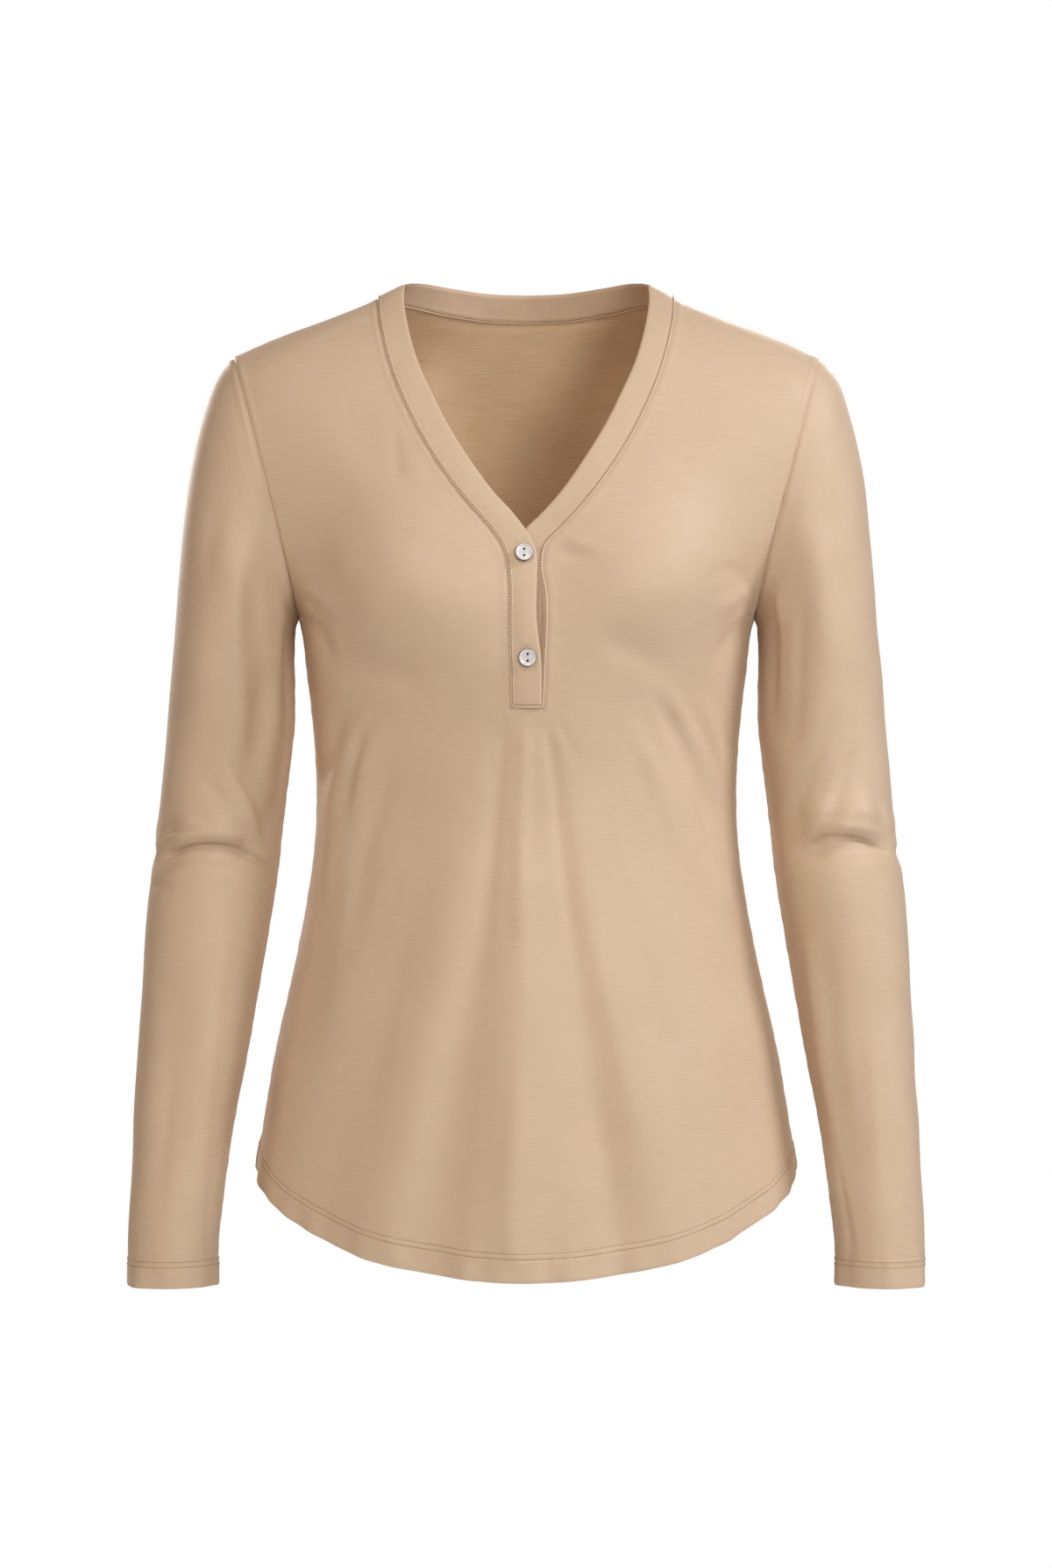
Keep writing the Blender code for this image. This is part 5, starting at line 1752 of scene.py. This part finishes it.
@dataclass
class Button:
    """A two-hole pearl button: a turned disc with a raised rim, a dish and two drilled holes.

    Sizes are in mm. Its two strands of thread go down the holes and one thin strand crosses between them.
    """

    name: str
    x: float
    z: float
    face: bpy.types.Material
    # edge: the dark grey finish of the outer ring, painted shade on the rim
    edge: bpy.types.Material
    radius: float = 5.75
    depth: float = 2.3
    rim: float = 1.0
    slope: float = 0.7
    dish: float = 0.65
    soft: float = 0.4
    soft_angle: float = 35.0
    hole: float = 0.86
    spacing: float = 4.2
    gap: float = 0.35
    seat_spots: int = 12
    sunk: float = 0.9
    edge_width: float = 0.46
    sharp: float = 40.0
    thread_slack: float = 0.04
    strand_radius: float = 0.08
    strand_rise: float = 0.02

    def turn_disc(self) -> bpy.types.Object:
        """Turns the disc and its dished face.

        Returns:
            The disc, standing on z = 0.
        """
        bpy.ops.object.select_all(action="DESELECT")
        bpy.ops.mesh.primitive_cylinder_add(
            vertices=48, radius=self.radius * MM, depth=self.depth * MM, location=(0, 0, self.depth / 2 * MM)
        )
        disc = bpy.context.object
        disc.data.transform(Matrix.Translation(disc.location))
        disc.location = (0, 0, 0)
        bpy.ops.object.mode_set(mode="EDIT")
        bpy.ops.mesh.select_all(action="DESELECT")
        bpy.ops.object.mode_set(mode="OBJECT")
        for polygon in disc.data.polygons:
            polygon.select = polygon.normal.z > 0.9
        bpy.ops.object.mode_set(mode="EDIT")
        bpy.ops.mesh.select_mode(type="FACE")
        bpy.ops.mesh.inset(thickness=self.rim * MM)
        bpy.ops.mesh.inset(thickness=self.slope * MM, depth=-self.dish * MM)
        bpy.ops.object.mode_set(mode="OBJECT")
        return disc

    def drill(self, disc: bpy.types.Object) -> None:
        """Rounds the edges and drills both holes.

        Args:
            disc: the disc, standing on z = 0.
        """
        rounded = disc.modifiers.new("rounded", "BEVEL")
        rounded.width = self.soft * MM
        rounded.segments = 3
        rounded.angle_limit = math.radians(self.soft_angle)
        bpy.context.view_layer.objects.active = disc
        bpy.ops.object.modifier_apply(modifier="rounded")
        for offset in (-self.spacing / 2, self.spacing / 2):
            bpy.ops.mesh.primitive_cylinder_add(
                vertices=20, radius=self.hole * MM, depth=4 * self.depth * MM, location=(0, offset * MM, 0)
            )
            bit = bpy.context.object
            cut = disc.modifiers.new("hole", "BOOLEAN")
            cut.operation = "DIFFERENCE"
            cut.solver = "EXACT"
            cut.object = bit
            bpy.context.view_layer.objects.active = disc
            bpy.ops.object.modifier_apply(modifier="hole")
            bpy.data.objects.remove(bit, do_unlink=True)

    def seat(self, band: bpy.types.Object) -> Matrix:
        """Finds where the button lies on the band.

        Args:
            band: the neckband.

        Returns:
            The matrix that moves the button from the origin to its place.
        """
        touched = []
        for i in range(self.seat_spots):
            turn = 2 * math.pi * i / self.seat_spots
            x, z = self.x + self.radius * math.cos(turn), self.z + self.radius * math.sin(turn)
            touched.append(touch(band, x, z))
        touched = [hit for hit in touched if hit]
        facing = sum((normal for _, normal in touched), Vector((0, 0, 0))).normalized()
        centre, _ = touch(band, self.x, self.z)
        reach = max((spot - centre).dot(facing) for spot, _ in touched)
        place = centre + facing * (max(reach, 0.0) + self.gap * MM)
        return Matrix.Translation(place) @ facing.to_track_quat("Z", "Y").to_matrix().to_4x4()

    def build(self, band: bpy.types.Object) -> tuple[bpy.types.Object, Matrix]:
        """Makes the button and sets it on the overlap.

        Args:
            band: the neckband that it lies on.

        Returns:
            The button, and the matrix that set it in place.
        """
        disc = self.turn_disc()
        self.drill(disc)
        disc.name = self.name + "_pearl"
        disc.data.materials.clear()
        disc.data.materials.append(self.face)
        disc.data.materials.append(self.edge)
        # faces in the outer ring take the dark edge finish: painted shade on the button's rim
        for polygon in disc.data.polygons:
            outside = Vector(polygon.center[:2]).length > (self.radius - self.edge_width) * MM
            polygon.material_index = int(outside)
        matrix = self.seat(band)
        disc.data.transform(matrix)
        disc.data.shade_smooth()
        disc.data.set_sharp_from_angle(angle=math.radians(self.sharp))
        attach(disc, BODY)
        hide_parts(self.name)
        return disc, matrix

    def sew_on(self, matrix: Matrix, deep: bpy.types.Material, thin: bpy.types.Material) -> None:
        """Sews the button on: thick strands down both holes and a thin one across between them.

        Args:
            matrix: sets the button's own frame in place.
            deep: thread in the holes, coloured near black as painted shade in the holes.
            thin: thread across the face.
        """
        turn = matrix.to_3x3()
        side, along, out = (np.array(turn @ Vector(axis)) for axis in ((1, 0, 0), (0, 1, 0), (0, 0, 1)))
        floor, half = self.depth - self.dish, self.spacing / 2
        down = [matrix @ (Vector((0.0, y, floor / 2 - self.sunk)) * MM) / MM for y in (-half, half)]
        # the thread that fills each hole is near black: painted shade in the holes
        plug = Stitches(length=floor, radius=self.hole - self.thread_slack, sides=8, proud=0.0)
        plug.sew(self.name + "_thread", [(np.array(down), np.array([out] * 2), np.array([side] * 2))], deep)
        middle = matrix @ (Vector((0.0, 0.0, floor + self.strand_rise)) * MM) / MM
        strand = Stitches(length=self.spacing, radius=self.strand_radius, proud=0.0)
        strand.sew(self.name + "_strand", [(np.array([middle]), np.array([along]), np.array([out]))], thin)


@dataclass(frozen=True)
class Buttonhole:
    """A worked buttonhole: close stitches along both sides of a slit, with a bar at each end.

    Its ends are x and z in mm. A stitch's place across is a share of the width.
    """

    top: tuple
    low: tuple
    width: float = 2.6
    pitch: float = 0.6
    bar: float = 1.4

    BAR_PLACES = (-0.42, 0.0, 0.42)
    SIDE_PLACES = (-0.36, 0.36)

    def rows(self, band: bpy.types.Object) -> list:
        """Lays the stitches on the band.

        Args:
            band: the neckband.

        Returns:
            One row: places, directions and facings of the stitches.
        """
        top, low = np.array(self.top), np.array(self.low)
        along = unit(low - top)
        across = np.array([along[1], -along[0]])
        length = float(np.linalg.norm(low - top))
        place, ahead, up = [], [], []
        for at in np.arange(0.0, length, self.pitch):
            ends = at < self.bar or at > length - self.bar
            for offset in self.BAR_PLACES if ends else self.SIDE_PLACES:
                hit = touch(band, *(top + along * at + across * offset * self.width))
                if not hit:
                    continue
                direction = Vector((across[0], 0.0, across[1]))
                direction -= hit[1] * direction.dot(hit[1])
                place.append(hit[0] / MM)
                ahead.append(direction.normalized())
                up.append(hit[1])
        return [(np.array(place), np.array(ahead), np.array(up))]


# ---- Studio ----


@dataclass(frozen=True)
class Studio:
    """A white studio: a pale floor well below the blouse, soft lights and the photograph's camera.

    Sizes are in metres, the lens and its sensor in mm, and each light's power is in watts.
    """

    camera_at: tuple = (-0.0003, -3.2, -0.3182)
    lens: float = 111.41
    sensor: float = 36.0
    clip_end: float = 50.0
    floor_z: float = -1.45
    floor_radius: float = 2.1
    floor_colour: tuple = (0.86, 0.86, 0.85, 1.0)
    floor_roughness: float = 0.8
    white: tuple = (1.0, 1.0, 1.0, 1.0)
    fill_colour: tuple = (1.0, 0.85, 0.7, 1.0)
    fill_strength: float = 0.03
    look_at: tuple = (0.0, 0.0, -0.3)

    # name, place, size, power and colour
    LIGHTS = [
        ("key", (2.6, -0.9, 1.6), 1.0, 71.0, (0.93, 0.96, 1.0)),
        ("front", (1.2, -2.9, 0.5), 0.9, 43.5, (0.94, 1.0, 0.97)),
        ("top", (-0.4, -2.3, 2.1), 0.9, 25.0, (1.0, 0.92, 0.84)),
        ("side", (-2.75, -1.2, 0.3), 1.2, 18.0, (1.0, 0.9, 0.77)),
        ("left", (-1.6, -2.6, 0.4), 1.0, 10.0, (1.0, 0.86, 0.72)),
        ("back", (0.9, 2.9, 1.2), 1.0, 60.0, (1.0, 0.98, 0.95)),
        ("back_side", (-1.4, 2.8, 0.6), 1.0, 50.0, (1.0, 0.98, 0.95)),
    ]

    def paint_world(self) -> None:
        """A white surround that the camera sees, and a dimmer one that lights the cloth."""
        world = bpy.data.worlds.new("studio")
        bpy.context.scene.world = world
        world.use_nodes = True
        tree = world.node_tree
        tree.nodes.clear()
        seen = add_node(tree, "ShaderNodeBackground", {"Color": self.white, "Strength": 1.0}, {})
        fill = {"Color": self.fill_colour, "Strength": self.fill_strength}
        dim = add_node(tree, "ShaderNodeBackground", fill, {})
        path = add_node(tree, "ShaderNodeLightPath", {}, {})
        links = {0: path.outputs["Is Camera Ray"], 1: dim.outputs[0], 2: seen.outputs[0]}
        mix = add_node(tree, "ShaderNodeMixShader", {}, links)
        add_node(tree, "ShaderNodeOutputWorld", {}, {0: mix.outputs[0]})

    def lay_floor(self) -> None:
        """A round pale floor."""
        bpy.ops.object.select_all(action="DESELECT")
        bpy.ops.mesh.primitive_circle_add(
            vertices=96, radius=self.floor_radius, fill_type="NGON", location=(0, 0, self.floor_z)
        )
        floor = bpy.context.object
        floor.name = "floor"
        material, tree, output = blank_material("floor_paint")
        paint = {"Base Color": self.floor_colour, "Roughness": self.floor_roughness}
        shader = add_node(tree, "ShaderNodeBsdfPrincipled", paint, {})
        tree.links.new(shader.outputs[0], output.inputs[0])
        floor.data.materials.append(material)

    def hang_light(self, name: str, place: tuple, size: float, power: float, colour: tuple) -> None:
        """Hangs a soft square light that looks at the middle of the blouse.

        Args:
            name: the light's name.
            place: where it hangs.
            size: length of its sides.
            power: its power.
            colour: its colour, as linear red, green and blue.
        """
        light = bpy.data.lights.new(name, "AREA")
        light.shape = "SQUARE"
        light.size = size
        light.energy = power
        light.color = colour
        lamp = bpy.data.objects.new(name, light)
        lamp.location = place
        heading = Vector(self.look_at) - Vector(place)
        lamp.rotation_euler = heading.to_track_quat("-Z", "Y").to_euler()
        bpy.context.scene.collection.objects.link(lamp)

    def set_camera(self) -> None:
        """Sets the photograph's camera level in front of the blouse."""
        lens = bpy.data.cameras.new("camera")
        lens.lens = self.lens
        lens.sensor_width = self.sensor
        lens.clip_end = self.clip_end
        camera = bpy.data.objects.new("camera", lens)
        camera.location = self.camera_at
        camera.rotation_euler = (math.pi / 2, 0.0, 0.0)
        bpy.context.scene.collection.objects.link(camera)
        bpy.context.scene.camera = camera

    def build(self) -> None:
        """Sets up the world, floor, lights and camera."""
        self.paint_world()
        self.lay_floor()
        for light in self.LIGHTS:
            self.hang_light(*light)
        self.set_camera()
        bpy.context.scene.view_settings.view_transform = "Standard"


# ---- The blouse ----


@dataclass
class Blouse:
    """All pieces of the blouse and its sewing. Sizes are in mm."""

    hem_rows_in: tuple = (19.0, 15.5)
    cuff_rows_in: tuple = (17.5, 14.0)
    band_row_in: float = 2.1
    band_edge_columns: int = 5
    band_thickness: float = 1.7
    inside_low: float = -60.0

    BAND_SEWING = Stitches(length=1.25, radius=0.32, proud=0.02)
    INSIDE_SEWING = Stitches(length=1.5, radius=0.32)
    BUTTONHOLE_SEWING = Stitches(length=1.0)

    # colour and shade of each thread: near black in the buttons' holes as painted shade, pale round the
    # buttonholes
    THREADS = {
        "button_thread_painted_shade": ("#33251B", "#241A12"),
        # the band's seam thread is dark brown: its own colour with painted shade of the stitch holes
        "seam_thread_painted_shade": ("#664A33", "#4F3826"),
        "buttonhole_thread": ("#E6D0B2", "#CDB08B"),
        "hem_thread": ("#9C7C5D", "#84664A"),
        "button_strand": ("#B7AA9A", "#9D8F7E"),
    }
    # ends of each buttonhole and middle of each button, as x and z
    BUTTONHOLES = [((-6.6, -162.6), (-1.9, -178.6)), ((0.3, -229.2), (1.4, -245.6))]
    BUTTONS = {"button_upper": (-1.4, -171.1), "button_lower": (0.8, -237.6)}

    def build(self) -> None:
        """Makes the panels, the band, the sewing and the buttons, in order."""
        # the wrong side is coloured paler than the right side: painted light for the light that shines
        # through the thin cloth onto the inside
        wrong = JerseyFinish(
            "viscose_jersey_wrong_side_painted_light", colour="#E8C8A7", streak="#D9B48E", roughness=0.7, sheen=0.12
        ).make()
        jersey = JerseyFinish("viscose_jersey").make(), wrong
        rippled = JerseyFinish("viscose_jersey_rippled", crimp=0.5).make(), wrong
        folded = (JerseyFinish("viscose_jersey_folded", colour="#CFB298", relief=0.035).make(),) * 2
        threads = {name: ThreadFinish(name, *colours).make() for name, colours in self.THREADS.items()}
        pearl = PearlFinish("pearl_resin", "#ECE8EA", "#CEC8C9").make()
        # the buttons' outer ring is dark grey: painted shade on the rim
        pearl_edge_painted_shade = PearlFinish("pearl_resin_edge_painted_shade", "#6E6760", "#58514B").make()
        raised = self.cut_panels({
            "front": FrontPanel(jersey),
            "back": BackPanel(jersey),
            "sleeve_right": Sleeve(rippled, "sleeve_right_cloth", 80, name="sleeve_right"),
            "sleeve_left": Sleeve(rippled, "sleeve_left_cloth", 60, name="sleeve_left"),
        })
        band, band_grid = Neckband(folded).build()
        LOG.info("neckband: %d points", band_grid.points.size // 3)
        self.sew_hems(raised, threads["hem_thread"])
        self.sew_band(band_grid, threads["seam_thread_painted_shade"], threads["buttonhole_thread"])
        stitched = [row for ends in self.BUTTONHOLES for row in Buttonhole(*ends).rows(band)]
        self.BUTTONHOLE_SEWING.sew("buttonholes", stitched, threads["buttonhole_thread"])
        LOG.info("sewing: hem, cuffs, neckband and %d buttonholes", len(stitched))
        for name, (x, z) in self.BUTTONS.items():
            button = Button(name, x, z, pearl, pearl_edge_painted_shade)
            _, matrix = button.build(band)
            button.sew_on(matrix, threads["button_thread_painted_shade"], threads["button_strand"])
            LOG.info("%s: set on the overlap", name)

    def cut_panels(self, panels: dict) -> dict:
        """Makes the front, the back and the sleeves.

        Args:
            panels: the panels by name.

        Returns:
            The outer face of each one, with its relief.
        """
        grids = {name: panel.grid() for name, panel in panels.items()}
        facing = seam_facing(grids)
        raised = {}
        for name, panel in panels.items():
            raised[name] = panel.build(grids[name], facing[name])
            LOG.info("%s: %d points", name, raised[name].points.size // 3)
        return raised

    def sew_hems(self, raised: dict, thread: bpy.types.Material) -> None:
        """Sews the two rows of the hem and of each cuff.

        Args:
            raised: outer faces of the panels by name.
            thread: the thread's material.
        """
        sewing = Stitches()
        for label, names, depths in (
            ("hem_stitches", ("front", "back"), self.hem_rows_in),
            ("cuff_stitches", ("sleeve_right", "sleeve_left"), self.cuff_rows_in),
        ):
            rows = []
            for name in names:
                grid = raised[name]
                points, normals = grid.points[::-1], grid.normals()[::-1]
                for depth in depths:
                    line, facing = inset(points, normals, depth)
                    rows.append(sewing.along(line, facing, closed=name.startswith("sleeve")))
            sewing.sew(label, rows, thread)

    def sew_band(self, grid: Grid, thread: bpy.types.Material, pale: bpy.types.Material) -> None:
        """Sews the row along the band's seam and across the placket's foot, and the row inside the back neck.

        Args:
            grid: the band's outer face.
            thread: thread of the rows outside, dark brown: its own colour with painted shade of the stitch
                holes.
            pale: thread of the row inside.
        """
        sewing, bold = self.BAND_SEWING, self.INSIDE_SEWING
        points, normals = grid.points.transpose(1, 0, 2), grid.normals().transpose(1, 0, 2)
        line, facing = inset(points, normals, self.band_row_in)
        foot, foot_facing = inset(grid.points, grid.normals(), self.band_row_in)
        edge = self.band_edge_columns
        rows = [sewing.along(line, facing), sewing.along(foot[edge:], foot_facing[edge:])]
        sewing.sew("neckband_stitches", rows, thread)
        inside = line - facing * self.band_thickness
        high = line[:, 2] > self.inside_low
        bold.sew("neckband_inside_stitches", [bold.along(inside[high], -facing[high])], pale)


def main() -> None:
    """Builds the studio and the blouse."""
    logging.basicConfig(level=logging.INFO, format="%(name)s: %(message)s")
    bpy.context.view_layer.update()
    Studio().build()
    LOG.info("studio: world, floor, %d lights and camera", len(Studio.LIGHTS))
    Blouse().build()


if __name__ == "__main__":
    main()
